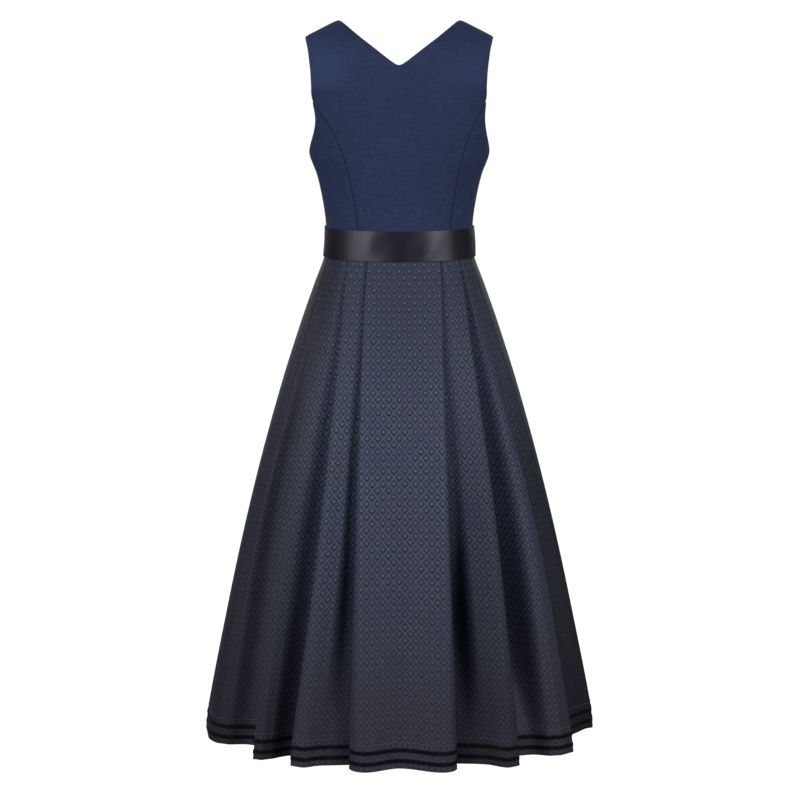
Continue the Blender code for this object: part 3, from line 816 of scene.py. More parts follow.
def build_weave_group():
    """Threads over and under each other, with slubs: Relief for bump and Slub, uneven threads both ways."""
    inputs = [("Chart", "Vector", None), ("Threads", "Float", 1600.0), ("Slubs", "Float", 60.0)]
    group = Group("plain_weave", "Shader", inputs, [("Relief", "Float"), ("Slub", "Float")])
    chart, threads, slubs = group.inputs
    waves = []
    for direction in group.split(chart)[:2]:
        waves.append(group.maths("SINE", group.times(group.times(direction, threads), math.pi)))
    streaks = []
    for across, along in ((1.0, SLUB_STRETCH), (SLUB_STRETCH, 1.0)):
        streaks.append(group.noise(group.stretched(chart, across, along), slubs, detail=3.0, roughness=0.6))
    group.give(Relief=group.times(*waves), Slub=group.times(group.maths("ADD", *streaks), 0.5))


def build_lattice_group():
    """A woven lattice of diamonds on a chart counted in diamonds: thin lines, a dark outline inside them,
    made deeper below by painted shade, and a small dot in the middle."""
    inputs = [("Chart", "Vector", None), ("Height by width", "Float", 1.2)]
    outputs = [(label, "Float") for label in ("Lattice", "Dot", "Outline", "Relief")]
    group = Group("diamond_lattice", "Shader", inputs, outputs)
    chart, tall = group.inputs
    u, v = group.split(chart)[:2]
    slants = []
    for operation in ("ADD", "SUBTRACT"):
        slant = group.maths(operation, u, v)
        slants.append(group.maths("SUBTRACT", slant, group.maths("ROUND", slant)))
    edge = group.maths("MAXIMUM", *(group.maths("ABSOLUTE", slant) for slant in slants))
    across, along = (group.times(group.maths(operation, *slants), 0.5) for operation in ("ADD", "SUBTRACT"))
    below = group.band(along, *DOT_SHADE_BELOW)
    squares = [group.maths("POWER", side, 2.0) for side in (across, group.times(along, tall))]
    away = group.maths("SQRT", group.maths("ADD", *squares))
    lattice = group.band(edge, *LINE_EDGE)
    dot = group.band(away, *DOT_EDGE)
    outline = group.times(group.band(edge, *OUTLINE_INSIDE), group.band(edge, *OUTLINE_OUTSIDE))
    # Painted shade: the outline is darker below the dot, as under a raised figure.
    outline = group.times(outline, group.scaled(below, 0.60, 0.40))
    raised = group.scaled(lattice, 0.7, dot)
    relief = group.maths("SUBTRACT", raised, group.times(outline, 0.5))
    group.give(Lattice=lattice, Dot=dot, Outline=outline, Relief=relief)


def build_uneven_group():
    """Broad uneven patches of cloth."""
    inputs = [("Chart", "Vector", None), ("Scale", "Float", 6.0)]
    group = Group("uneven_cloth", "Shader", inputs, [("Patch", "Float")])
    group.give(Patch=group.band(group.noise(*group.inputs, detail=3.0, roughness=0.55), *PATCH_EDGE))


def build_stitch_group():
    """Stitches along the edges of a mesh: small rounded lengths of thread, one after the other."""
    inputs = [
        ("Geometry", "Geometry", None),
        ("Spacing", "Float", 0.003),
        ("Length", "Float", 0.0025),
        ("Thickness", "Float", 0.0004),
        ("Seed", "Int", 7),
        ("Thread", "Material", None),
    ]
    group = Group("stitch_line", "Geometry", inputs, [("Geometry", "Geometry")])
    edges, spacing, length, thickness, seed, thread = group.inputs
    line = group.node("GeometryNodeMeshToCurve", {"Mesh": edges})[0]
    evenly = group.node("GeometryNodeResampleCurve", {"Curve": line, "Length": spacing}, mode="LENGTH")[0]
    bead = group.node("GeometryNodeMeshUVSphere", {"Segments": 6, "Rings": 5, "Radius": 0.5})[0]
    size = group.node("ShaderNodeCombineXYZ", {0: thickness, 1: thickness, 2: length})[0]
    stitch = group.node("GeometryNodeTransform", {"Geometry": bead, "Scale": size})[0]
    smooth = group.node("GeometryNodeSetShadeSmooth", {"Geometry": stitch})[0]
    tangent = group.node("GeometryNodeInputTangent")[0]
    leans = {0: (-STITCH_LEAN,) * 3, 1: (STITCH_LEAN,) * 3, "Seed": seed}
    lean = group.node("FunctionNodeRandomValue", leans, data_type="FLOAT_VECTOR")[0]
    leaning = group.node("ShaderNodeVectorMath", {0: tangent, 1: lean}, operation="ADD")[0]
    turn = group.node("FunctionNodeAlignRotationToVector", {"Vector": leaning}, axis="Z")[0]
    laid = {"Points": evenly, "Instance": smooth, "Rotation": turn}
    row = group.node("GeometryNodeInstanceOnPoints", laid)[0]
    real = group.node("GeometryNodeRealizeInstances", {"Geometry": row})[0]
    group.give(Geometry=group.node("GeometryNodeSetMaterial", {"Geometry": real, "Material": thread})[0])


# ---------------------------------------------------------------- materials


def bodice_cloth(colours, sizes):
    """Matt navy plain weave with uneven threads, with a painted sheen at the shoulders. Its chart is in
    metres.
    """
    look = Look("navy_plain_weave", {"Specular IOR Level": 0.20})
    chart = look.chart()
    weave = look.group("plain_weave", {"Chart": chart, "Threads": 1 / sizes.thread_spacing, "Slubs": 42.0})
    patch = look.group("uneven_cloth", {"Chart": chart, "Scale": 9.0})["Patch"]
    slub = look.band(weave["Slub"], *SLUB_EDGE)
    cloth = look.blended(slub, rgba(colours.bodice), rgba(colours.bodice_thread))
    shade = look.maths("ADD", look.scaled(patch, 0.10, 0.93), look.times(weave["Relief"], 0.03))
    seam = look.times(look.band(look.marked("sewn"), *SEAM_EDGE), SEAM_SHADE)
    place = look.split(look.place())
    # Painted sheen at the shoulders, where light falls on the bodice, stronger on the left.
    upper = look.times(look.band(place["Z"], *PAINTED_SHEEN_BELOW), look.band(place["Z"], *PAINTED_SHEEN_ABOVE))
    start, end = PAINTED_SHEEN_OUTWARD
    left = look.times(look.band(place["X"], start, end), PAINTED_SHEEN_LEFT)
    right = look.times(look.band(place["X"], -start, -end), PAINTED_SHEEN_RIGHT)
    sheen_share = look.times(look.maths("ADD", left, right), upper)
    cloth = look.blended(sheen_share, cloth, rgba(colours.bodice_painted_sheen))
    cloth = look.darkened(cloth, look.maths("SUBTRACT", shade, seam))
    look.give({"Base Color": cloth, "Roughness": look.scaled(weave["Slub"], 0.12, 0.74)})
    look.bump(look.maths("ADD", weave["Relief"], look.times(slub, 1.5)), BODICE_RELIEF)


def skirt_jacquard(colours, sizes):
    """Shot blue-grey jacquard with a lattice of diamonds, greyer towards the hem, with painted shade under
    the belt, on some panels and towards the side seams. Its chart is counted in diamonds."""
    look = Look("shot_jacquard", {"Specular IOR Level": 0.25})
    chart = look.chart()
    tall = sizes.lattice_height_top / sizes.lattice_width_top
    figure = look.group("diamond_lattice", {"Chart": chart, "Height by width": tall})
    weave = look.group("plain_weave", {"Chart": chart, "Threads": 40.0, "Slubs": 1.6})
    broad = look.group("uneven_cloth", {"Chart": chart, "Scale": 0.16})["Patch"]
    small = look.group("uneven_cloth", {"Chart": chart, "Scale": 0.45})["Patch"]
    down = look.split(chart)["Y"]
    greyed = look.band(down, *GREYING)
    # Painted shade towards the side seams, where the skirt turns away from the light.
    sideways = look.band(look.marked("sideways"), *SIDE_EDGE)
    faint = look.scaled(small, 0.40, 0.60)
    for fading in (greyed, sideways):
        faint = look.times(faint, look.without(fading, 0.60))
    outlined = look.times(look.times(figure["Outline"], 0.95), faint)
    lines = look.times(figure["Lattice"], look.band(down, *LINES_CLEARING))
    drawn = look.times(look.times(lines, 0.80), faint)
    dotted = look.times(look.times(figure["Dot"], 0.85), faint)
    cloth = rgba(colours.skirt)
    for share, colour in (
        (broad, colours.skirt_shot),
        (look.times(small, 0.6), colours.skirt_teal),
        (greyed, colours.skirt_grey),
        (look.times(sideways, 0.92), colours.skirt_side_shade),
        (outlined, colours.skirt_shade),
        (drawn, colours.skirt_figure),
        (dotted, colours.skirt_figure),
    ):
        cloth = look.blended(share, cloth, rgba(colour))
    grain = look.scaled(weave["Slub"], 0.70, 0.64)
    # Painted shade darkens the skirt just under the belt, fading out downward.
    waist = look.scaled(look.band(down, *WAIST_SHADE_HEIGHTS), 0.21, 0.79)
    cloth = look.darkened(cloth, look.times(grain, waist))
    # Painted shade on the panels that turn from the light, coming in below the waist.
    panel_shade = look.times(look.marked("shaded"), look.band(down, *PANEL_SHADE_HEIGHTS))
    cloth = look.darkened(cloth, look.without(panel_shade, 0.42))
    look.give({"Base Color": cloth, "Roughness": look.maths("SUBTRACT", 0.58, look.times(drawn, 0.18))})
    look.bump(look.maths("ADD", figure["Relief"], look.times(weave["Relief"], 0.15)), SKIRT_RELIEF)


def velvet(colours):
    """Black cut pile. Its chart is in metres."""
    pile_sheen = {"Sheen Weight": 0.04, "Sheen Roughness": 0.35}
    look = Look("black_velvet", {"Roughness": 0.95, "Specular IOR Level": 0.12, **pile_sheen})
    chart = look.chart()
    pile = look.noise(chart, scale=2200.0, detail=2.0, roughness=0.7)
    nap = look.noise(chart, scale=40.0, detail=3.0, roughness=0.6)
    look.tint(look.times(pile, look.band(nap, *NAP_EDGE)), colours.velvet, lighter=2.6)
    look.bump(pile, PILE_RELIEF)


def satin(colours):
    """Glossy black satin with fine threads along the ribbon. Its chart is in metres."""
    look = Look("black_satin", {"Specular IOR Level": 0.5, "Specular Tint": (0.92, 0.87, 1.0, 1.0)})
    chart = look.chart()
    fine = look.noise(look.stretched(chart, 40.0, 2600.0), scale=1.0, detail=2.0, roughness=0.5)
    soft = look.noise(look.stretched(chart, 14.0, 30.0), scale=1.0, detail=3.0, roughness=0.5)
    look.tint(fine, colours.satin, lighter=1.7)
    look.give({"Roughness": look.scaled(soft, 0.10, 0.29)})
    look.bump(look.scaled(fine, 0.10, soft), SATIN_RELIEF)


def polished_horn(colours):
    """Dark polished buttons with faint streaks."""
    look = Look("dark_horn", {"Specular IOR Level": 0.5})
    streak = look.noise(look.stretched(look.place(), 90.0, 600.0), scale=1.0, detail=3.0, roughness=0.6)
    look.tint(look.band(streak, *STREAK_EDGE), colours.button, lighter=4.0)
    look.give({"Roughness": look.scaled(streak, 0.15, 0.16)})


def sewing_thread(name, colour):
    """Spun thread, lightly uneven."""
    fluff = {"Sheen Weight": 0.1, "Sheen Roughness": 0.5}
    look = Look(name, {"Roughness": 0.6, "Specular IOR Level": 0.4, **fluff})
    twist = look.noise(look.place(), scale=1800.0, detail=1.0, roughness=0.5)
    look.tint(twist, colour, lighter=1.6)
    look.bump(twist, THREAD_RELIEF)


# ---------------------------------------------------------------- bodice


def shoulder_line(x):
    return -SHOULDER_SLOPE * (abs(x) - SHOULDER_TOP_X)


def neck_and_shoulder(neck, x):
    """The lower of a neckline's height and the shoulder seam's, rounded where they cross."""
    shoulder = shoulder_line(x)
    return (neck + shoulder) / 2 - math.hypot((neck - shoulder) / 2, NECK_CORNER_ROUND)


def back_top(x):
    return neck_and_shoulder(BACK_NECK_SLOPE * math.hypot(x, BACK_NECK_ROUND) - BACK_NECK_DEPTH, x)


def front_top(x):
    """Height of the front panel's top edge, x being positive towards its own side and negative on its lap."""
    return neck_and_shoulder(-FRONT_NECK_DEPTH * (1 - x / SHOULDER_TOP_X), x)


def below_shoulder(facing, x, height):
    """How far a height lies under the shoulder seam at x, counted from just under the panel's top edge, so
    that the whole edge ends on the seam."""
    past = max(abs(x), SHOULDER_TOP_X)
    top = back_top(past) if facing > 0 else front_top(past)
    return max(shoulder_line(x) - shoulder_line(past) + top - SEAM_GAP - height, 0.0)


def bodice_point(facing, angle, height, lift=0.0):
    """A point of the bodice's middle surface. facing is +1 on the back and -1 on the front."""
    size = size_at(BODICE_LEVELS, height)
    power = 2 / size.squareness
    x = size.half_width * signed_power(math.sin(angle), power)
    depth = depth_of(size, facing)
    if facing < 0:
        away = math.hypot(abs(x) - BUST_X, height - BUST_HEIGHT)
        depth += BUST_RISE * math.exp(-((away / BUST_REACH) ** 2) / 2)
    depth *= abs(math.cos(angle)) ** power
    below_seam = below_shoulder(facing, x, height) / SHOULDER_ROUND
    if below_seam < 1:
        depth *= math.sqrt(1 - (1 - below_seam) ** 2)
    return Vector((x, facing * (depth + lift), height))


def angle_at(x, height):
    size = size_at(BODICE_LEVELS, height)
    share = min(abs(x) / size.half_width, 1.0)
    return math.copysign(math.asin(share ** (size.squareness / 2)), x)


def edge_x(edge, height):
    return size_at(edge, height).half_width


def seam_x(edge, facing, side, height):
    """Where a princess seam, or the armhole above it, crosses a height on one side of the wearer."""
    shift = size_at(BODICE_LEVELS, height).seam_shift if facing > 0 else 0.0
    return side * edge_x(edge, height) + shift


def back_panel():
    """The centre back, cut on the fold, with the V neckline and both shoulder seams along its top."""

    def point(up, share):
        side = math.copysign(1.0, share)
        height = mix(WAIST, back_top(share * SHOULDER_TIP_X), up)
        centre = size_at(BODICE_LEVELS, height).seam_shift
        edge = seam_x(BACK_EDGE, 1, side, height) - side * SEWN_GAP / 2
        place = bodice_point(1, angle_at(mix(centre, edge, abs(share)), height), height)
        place.y = max(place.y, SEWN_GAP / 2)
        return place

    half = crowded(BACK_HALF_COLUMNS)
    return grid_of(crowded(PANEL_ROWS), np.concatenate([-half[:0:-1], half]), point)


def side_panel(facing, side):
    """From princess seam to side seam, its top scooped out under the arm."""
    edge = BACK_EDGE if facing > 0 else FRONT_EDGE
    princess_top = BACK_PRINCESS_TOP if facing > 0 else FRONT_PRINCESS_TOP

    def point(up, share):
        top = mix(UNDERARM, princess_top, (1 - share) ** ARMHOLE_SCOOP)
        height = mix(WAIST, top, up)
        start = angle_at(seam_x(edge, facing, side, height) + side * SEWN_GAP / 2, height)
        place = bodice_point(facing, mix(start, side * math.pi / 2, share), height)
        place.y += facing * SEWN_GAP / 2 * share
        return place

    return grid_of(crowded(SIDE_ROWS), crowded(SIDE_COLUMNS), point)


def lap_lift(x):
    """How far the wearer's right front stands out where it laps over the left one."""
    share = (FRONT_LAP + FRONT_LAP_EASE + x) / FRONT_LAP_EASE
    return FRONT_LAP_LIFT * eased(min(max(share, 0.0), 1.0))


def front_panel(side):
    """From the lapped centre front to the princess seam. The wearer's right side (-1) laps over the left."""

    def point(up, share):
        height = mix(WAIST, front_top(mix(-FRONT_LAP, SHOULDER_TIP_X, share)), up)
        x = side * mix(-FRONT_LAP, edge_x(FRONT_EDGE, height) - SEWN_GAP / 2, share)
        place = bodice_point(-1, angle_at(x, height), height, lap_lift(x) if side < 0 else 0.0)
        place.y = min(place.y, -SEWN_GAP / 2)
        return place

    return grid_of(crowded(PANEL_ROWS), crowded(FRONT_COLUMNS), point)


def add_panel(node, rows, facing, seams):
    """A bodice panel with its creases and with its sewn edges, first or last, dipping in. Its chart is in
    metres."""
    arcs = arc_lengths(rows)
    away = {"first": arcs, "last": arcs[:, -1:] - arcs}
    dips = sum(-SEAM_DIP * np.exp(-((away[seam] / SEAM_DIP_REACH) ** 2)) for seam in seams)
    lift = crease_lift(BODICE_CREASES[facing], rows[..., 0], rows[..., 2]) + dips
    arcs = arc_lengths(rows[..., :2])
    chart = np.stack([arcs - arcs[:, arcs.shape[1] // 2, None], rows[..., 2]], axis=-1)
    rows = rows + outward(rows) * lift[..., None]
    piece = cloth_sheet(node, rows, chart, BODICE_WALL, "navy_plain_weave", sewn=-dips / SEAM_DIP)


# ---------------------------------------------------------------- skirt


def openness(height):
    """0 at the belt and above, 1 at the hem."""
    return min(max((BELT_BOTTOM - height) / (BELT_BOTTOM - HEM), 0.0), 1.0)


def plan_point(ring, facing, angle, size=1.0, inward=0.0):
    """A point in plan by its angle in degrees on a ring, scaled by size and then moved inward."""
    depth = depth_of(ring, facing)
    sine, cosine = math.sin(math.radians(angle)), math.cos(math.radians(angle))
    length = math.hypot(sine / ring.half_width, cosine / depth)
    x = size * ring.half_width * sine - inward * sine / ring.half_width / length
    y = size * depth * cosine - inward * cosine / depth / length
    return x, facing * y


def quarter_ring(ring, facing, pleats, rounds, height):
    """Spots (angle, size, inward) from the centre outwards to just before the side seam, and the places among
    them of every pleat's outer fold and of the last corner of its hidden fold."""
    opened = openness(height)
    step = mix(LAYER_STEP_WAIST, LAYER_STEP_HEM, opened)
    spots = [(0.0, mix(1.0, CENTRE_SAG, opened), 0.0)]
    folds = []

    def place(angle, size, inward=0.0, swells=0):
        """Adds a spot, with a number of others on a soft swell from the last one up to it."""
        start = spots[-1]
        end = (angle, mix(1.0, size, opened), inward)
        for share in np.arange(1, swells + 2) / (swells + 1):
            shares = (share, eased(share), share)
            spots.append(tuple(mix(*way) for way in zip(start, end, shares)))

    for pleat in pleats:
        fold = smooth_value(FOLD_HEIGHTS, pleat[:4], height)
        floors = [share * pleat.early * pleat.floor for share in FLOOR_SHARES]
        floor = smooth_value(FLOOR_HEIGHTS, [*floors, pleat.floor, pleat.floor_hem], height)
        lag_hip = HIP_SHARE * pleat.lag_knee
        lag = smooth_value(FOLD_HEIGHTS, [0.0, lag_hip, pleat.lag_knee, pleat.lag], height)
        rise_hip = mix(RISE_WAIST, pleat.rise_knee, RISE_HIP_SHARE)
        rise = smooth_value(FOLD_HEIGHTS, [RISE_WAIST, rise_hip, pleat.rise_knee, pleat.rise_lag], height)
        lead = mix(CREST_LEAD_WAIST, pleat.crest_lead, opened)
        one_degree = math.dist(plan_point(ring, facing, fold - 0.5), plan_point(ring, facing, fold + 0.5))
        tuck = min(mix(pleat.tuck, pleat.reach, opened) / one_degree, TUCK_ROOM * (fold - spots[-1][0]))
        under = mix(UNDER_WAIST, pleat.under, opened) * floor
        place(fold - lead, pleat.crest, swells=CENTRE_SWELLS if pleat is pleats[0] else PANEL_SWELLS)
        place(fold - lead * CREST_SHOULDER, mix(pleat.crest, pleat.fold, CREST_FALL))
        place(fold, pleat.fold)
        outer = len(spots) - 1
        place(fold, pleat.fold, step)
        place(fold - tuck, pleat.fold, step + TUCK_SAG * floor)
        place(fold - tuck, pleat.fold, 2 * step + under)
        folds.append((outer, len(spots) - 1))
        place(fold + lag, pleat.fold, max(floor, mix(2 * step, 0.0, opened)))
        place(fold + rise, pleat.rise)
    for bend, swells in zip(rounds, (1, 0)):
        place(mix(bend.angle_waist, bend.angle_hem, opened), bend.size_hem, swells=swells)
    return spots, folds


def half_ring(half, height):
    """One half of the skirt's section at a height, from its left side seam round to the right one: its points
    in plan, the number of them up to the centre, and the folds of its left and right pleats."""
    ring = size_at(SKIRT_LEVELS, height)
    left, left_folds = quarter_ring(ring, half.facing, half.left_pleats, half.left_rounds, height)
    right, right_folds = quarter_ring(ring, half.facing, half.right_pleats, half.right_rounds, height)
    mirrored = [(-angle, size, inward) for angle, size, inward in right[1:]]
    spots = [*left[::-1], *mirrored]
    seams = [(plan_point(ring, half.facing, angle)[0], half.facing * SEWN_GAP / 2) for angle in (90.0, -90.0)]
    plan = [seams[0], *(plan_point(ring, half.facing, *spot) for spot in spots), seams[1]]
    return plan, len(left), left_folds, right_folds


def skirt_rows(name, heights):
    """A fine grid of one half of the skirt from its left side seam round to the right one, a row for each
    height, and its panels (first column, last column, the column that the cloth's grain follows)."""
    half = SKIRT_HALVES[name]
    plan, centre, left_folds, right_folds = half_ring(half, HEM)
    lengths = np.linalg.norm(np.diff(np.array(plan), axis=0), axis=1)
    counts = [max(2, math.ceil(length / SKIRT_STEP)) for length in lengths]
    places = np.concatenate([[0], np.cumsum(counts)])
    grid = run_through(np.array([half_ring(half, height)[0] for height in heights]), counts)

    rings = [size_at(SKIRT_LEVELS, height) for height in heights]
    widths = np.array([ring.half_width for ring in rings])[:, None]
    depths = np.array([depth_of(ring, half.facing) for ring in rings])[:, None]
    tall = np.array(heights)[:, None]
    x, y = grid[..., 0], half.facing * grid[..., 1]
    angles = np.degrees(np.arctan2(x / widths, y / depths))
    lift = crease_lift(SKIRT_CREASES[name], angles, tall)
    lift = lift * np.clip((BELT_BOTTOM - tall) / CREASES_FROM_BELT, 0, 1)
    lift = lift * np.clip((90 - np.abs(angles)) / CREASES_FROM_SEAM, 0, 1)
    out = unit(np.stack([x / widths**2, y / depths**2], axis=-1))
    x, y = x + out[..., 0] * lift, y + out[..., 1] * lift
    rows = np.stack([x, half.facing * y, np.broadcast_to(tall, x.shape)], axis=-1)

    left = [(places[centre - outer], places[centre - corner]) for outer, corner in left_folds]
    right = [(places[centre + outer], places[centre + corner]) for outer, corner in right_folds]
    panels = [(left[0][0], right[0][0], places[centre])]
    for folds, seam in ((left, 0), (right, places[-1])):
        for inner, beyond in zip(folds, folds[1:] + [None]):
            end = seam if beyond is None else beyond[0]
            grain = (inner[1] + seam) // 2 if beyond is None else end
            panels.append((min(inner[1], end), max(inner[1], end), grain))
    return rows, sorted(panels)


def lattice_chart(rows, panels):
    """The chart of the skirt's pattern, counted in diamonds. Each panel's pattern follows its own grain, and
    the hidden folds between panels take up what differs."""
    sizes = bpy.context.scene.dirndl_sizes
    heights = rows[:, 0, 2]
    down = (WAIST - heights) / (WAIST - HEM)
    widths = mix(sizes.lattice_width_top, sizes.lattice_width_hem, down)[:, None]
    talls = mix(sizes.lattice_height_top, sizes.lattice_height_hem, down)
    counted = arc_lengths(rows) / widths
    even_row = int(np.argmin(np.abs(heights - PANEL_GRAIN_HEIGHT)))
    u = np.array(counted)
    for first, last, grain in panels:
        shift = counted[even_row, grain] - counted[:, grain]
        u[:, first : last + 1] = counted[:, first : last + 1] + shift[:, None]
    for before, after in zip(panels, panels[1:]):
        start, end = before[1], after[0]
        hidden = counted[:, start : end + 1] - counted[:, start, None]
        u[:, start : end + 1] = mix(u[:, start, None], u[:, end, None], hidden / hidden[:, -1:])
    u -= u[even_row, panels[len(panels) // 2][2]]
    steps = np.abs(np.diff(heights)) / ((talls[1:] + talls[:-1]) / 2)
    v = -np.concatenate([[0.0], np.cumsum(steps)])
    return np.stack([u, np.broadcast_to(v[:, None], u.shape)], axis=-1)


def moved_out(rows, distance, facing):
    """Rows of points pushed outwards from the cloth, square to it in plan, keeping each row's height."""
    steps = np.diff(rows[..., :2], axis=1)
    normals = unit(np.stack([steps[..., 1], -steps[..., 0]], axis=-1) * facing)
    before = np.concatenate([normals[:, :1], normals], axis=1)
    after = np.concatenate([normals, normals[:, -1:]], axis=1)
    out = unit(before + after)
    narrowing = np.maximum((out * before).sum(axis=-1, keepdims=True), 0.5)
    moved = np.array(rows)
    moved[..., :2] += out * distance / narrowing
    return moved


def add_skirt_half(name):
    rows, panels = skirt_rows(name, np.linspace(WAIST - SEAM_GAP, HEM, SKIRT_ROWS))
    widths = np.array([size_at(SKIRT_LEVELS, row[0, 2]).half_width for row in rows])[:, None]
    # How far each point of the skirt turns to the side, which the material reads to paint shade at the side
    # seams.
    sideways = np.clip(np.abs(rows[..., 0]) / widths - RIGHT_SIDE_SHADE_LESS * (rows[..., 0] < 0), 0.0, 1.0)
    sideways[:, : panels[1][1] + 1] += LEFT_SIDE_SHADE_MORE
    # Painted shade on the panels that turn from the light, for the material to read.
    shaded = np.zeros(sideways.shape)
    for panel, share in PAINTED_PANEL_SHADES.items():
        shaded[:, panels[panel][0] : panels[panel][1] + 1] = share
    chart = lattice_chart(rows, panels)
    marks = {"sideways": sideways, "shaded": shaded}
    return cloth_sheet(f"skirt_{name}", rows, chart, SKIRT_WALL, "shot_jacquard", **marks), rows


def ribbon_chart(rows):
    """The chart of a ribbon, in metres."""
    return np.stack([arc_lengths(rows), rows[..., 2]], axis=-1)


def add_velvet(name, ribbon):
    """A velvet ribbon sewn round one half of the hem, following every fold of the cloth."""
    low = HEM + RIBBON_STARTS[ribbon]
    rows = skirt_rows(name, low + RIBBON_WIDTH * np.linspace(1.0, 0.0, RIBBON_ROWS))[0]
    distance = SKIRT_WALL / 2 + RIBBON_CLEARANCE + VELVET_WALL / 2
    rows = moved_out(rows, distance, SKIRT_HALVES[name].facing)
    piece = cloth_sheet(f"{ribbon}_{name}", rows, ribbon_chart(rows), VELVET_WALL, "black_velvet")
    length = float(arc_lengths(rows).max())
    return rows


# ---------------------------------------------------------------- belt


def belt_plan(angle, height):
    """A point of the belt in plan, by its angle in degrees right round the waist from centre front."""
    across = math.sin(math.radians(angle))
    along = -math.cos(math.radians(angle))
    size = size_at(BODICE_LEVELS if height > WAIST else SKIRT_LEVELS, height)
    power = 2 / size.squareness if height > WAIST else 1.0
    depth = depth_of(size, along) + (BELT_CLEARANCE if along > 0 else BELT_FRONT_CLEARANCE)
    half_width = size.half_width + BELT_CLEARANCE
    return half_width * signed_power(across, power), depth * signed_power(along, power)


def belt_rows():
    """A satin ribbon once round the waist, its right end lying over its left one at centre front."""
    angles = np.linspace(-BELT_LAP_ANGLE, 360.0 + BELT_LAP_ANGLE, BELT_COLUMNS)
    edges = [np.array([belt_plan(angle, height) for angle in angles]) for height in (BELT_BOTTOM, BELT_TOP)]
    lapped = np.clip((angles - (360.0 - 3 * BELT_LAP_ANGLE)) / (2 * BELT_LAP_ANGLE), 0.0, 1.0)
    rows = []
    for share in crowded(BELT_ROWS, BELT_CROWDING):
        plan = mix(*edges, share)
        height = mix(BELT_BOTTOM, BELT_TOP, share)
        lift = BELT_LAP_LIFT * eased(lapped) + crease_lift(BELT_CREASES, angles, height)
        plan = plan * (1 + lift / np.linalg.norm(plan, axis=1))[:, None]
        rows.append(np.column_stack([plan, np.full(len(angles), height)]))
    return np.array(rows)


# ---------------------------------------------------------------- stitches and buttons


def add_stitches(name, lines, length, thickness, thread, slot, gap=STITCH_GAP):
    """Stitches along lines of points, as one plain piece."""
    points = [tuple(point) for line in lines for point in line]
    edges = []
    for line in lines:
        start = edges[-1][1] + 1 if edges else 0
        edges += [(start + i, start + i + 1) for i in range(len(line) - 1)]
    mesh = bpy.data.meshes.new(name)
    mesh.from_pydata(points, edges, [])
    piece = new_piece(name, mesh)
    modifier = piece.modifiers.new("stitches", "NODES")
    modifier.node_group = bpy.data.node_groups["stitch_line"]
    values = {
        "Spacing": length * (1 + gap),
        "Length": length,
        "Thickness": thickness,
        "Seed": bpy.context.scene.dirndl_sizes.stitch_seed,
        "Thread": bpy.data.materials[thread],
    }
    for socket in modifier.node_group.interface.items_tree:
        if socket.in_out == "INPUT" and socket.name in values:
            modifier[socket.identifier] = values[socket.name]
    make_plain(piece)
    piece.data.materials.clear()
    piece.data.materials.append(values["Thread"])
    return wear(piece, slot)


def button_frame(number):
    """The matrix that puts a button, made flat round the origin facing +Z, on the upper front panel."""
    height = TOP_BUTTON - number * BUTTON_STEP
    centre = bodice_point(-1, 0.0, height, FRONT_LAP_LIFT)
    above = bodice_point(-1, 0.0, height + BUTTON_RADIUS, FRONT_LAP_LIFT)
    out = Vector((0.0, centre.z - above.z, above.y - centre.y)).normalized()
    place = centre + out * (BODICE_WALL / 2 + BUTTON_GAP)
    return Matrix.Translation(place) @ out.to_track_quat("Z", "Y").to_matrix().to_4x4()


def flat_button():
    """A dished button with four holes, lying on the plane z = 0."""
    shape = bmesh.new()
    turns = [math.tau * side / BUTTON_SIDES for side in range(BUTTON_SIDES)]
    rings = []
    for ring in BUTTON_PROFILE:
        radius, height = ring.radius * BUTTON_RADIUS, ring.height * BUTTON_THICK
        rings.append([shape.verts.new((radius * math.cos(t), radius * math.sin(t), height)) for t in turns])
    for inner, outer in zip(rings, rings[1:]):
        for side in range(BUTTON_SIDES):
            after = (side + 1) % BUTTON_SIDES
            shape.faces.new((inner[side], outer[side], outer[after], inner[after]))
    shape.faces.new(rings[0])
    shape.faces.new(rings[-1][::-1])
    bmesh.ops.recalc_face_normals(shape, faces=shape.faces)
    button = shape_piece("flat_button", shape)
    button.data.materials.append(bpy.data.materials["dark_horn"])
    drills = bmesh.new()
    for x, y in ((-1, -1), (-1, 1), (1, -1), (1, 1)):
        place = Matrix.Translation((x * HOLE_PLACE, y * HOLE_PLACE, BUTTON_THICK / 2))
        bmesh.ops.create_cone(
            drills,
            cap_ends=True,
            segments=HOLE_SIDES,
            radius1=HOLE_RADIUS,
            radius2=HOLE_RADIUS,
            depth=3 * BUTTON_THICK,
            matrix=place,
        )
    cutter = shape_piece("holes", drills)
    holes = button.modifiers.new("holes", "BOOLEAN")
    holes.operation = "DIFFERENCE"
    holes.object = cutter
    make_plain(button)
    bpy.data.objects.remove(cutter)
    return button


def button_crosses(lie):
    """The two crossing threads of a button, there and back, put in place by the button's matrix."""
    level = BUTTON_THICK * THREAD_LEVEL
    lines = []
    for side in (-THREAD_REACH, THREAD_REACH):
        for turn in (-THREAD_REACH, THREAD_REACH):
            lines.append([lie @ Vector((-turn, -side, level)), lie @ Vector((turn, side, level))])
    return lines


def front_surface(x, height):
    """A point on the outside of the upper front panel."""
    return bodice_point(-1, angle_at(x, height), height, lap_lift(x) + BODICE_WALL / 2 + STITCH_CLEARANCE)


def buttonhole_line(number):
    """Points round a buttonhole, which runs from under its button towards the wearer's right."""
    height = TOP_BUTTON - number * BUTTON_STEP
    places = np.linspace(SLIT_START, SLIT_END, SLIT_POINTS)
    above = [front_surface(x, height + SLIT_HALF_WIDTH) for x in places]
    below = [front_surface(x, height - SLIT_HALF_WIDTH) for x in places[::-1]]
    return [*above, front_surface(SLIT_TIP, height), *below]


# ---------------------------------------------------------------- operators


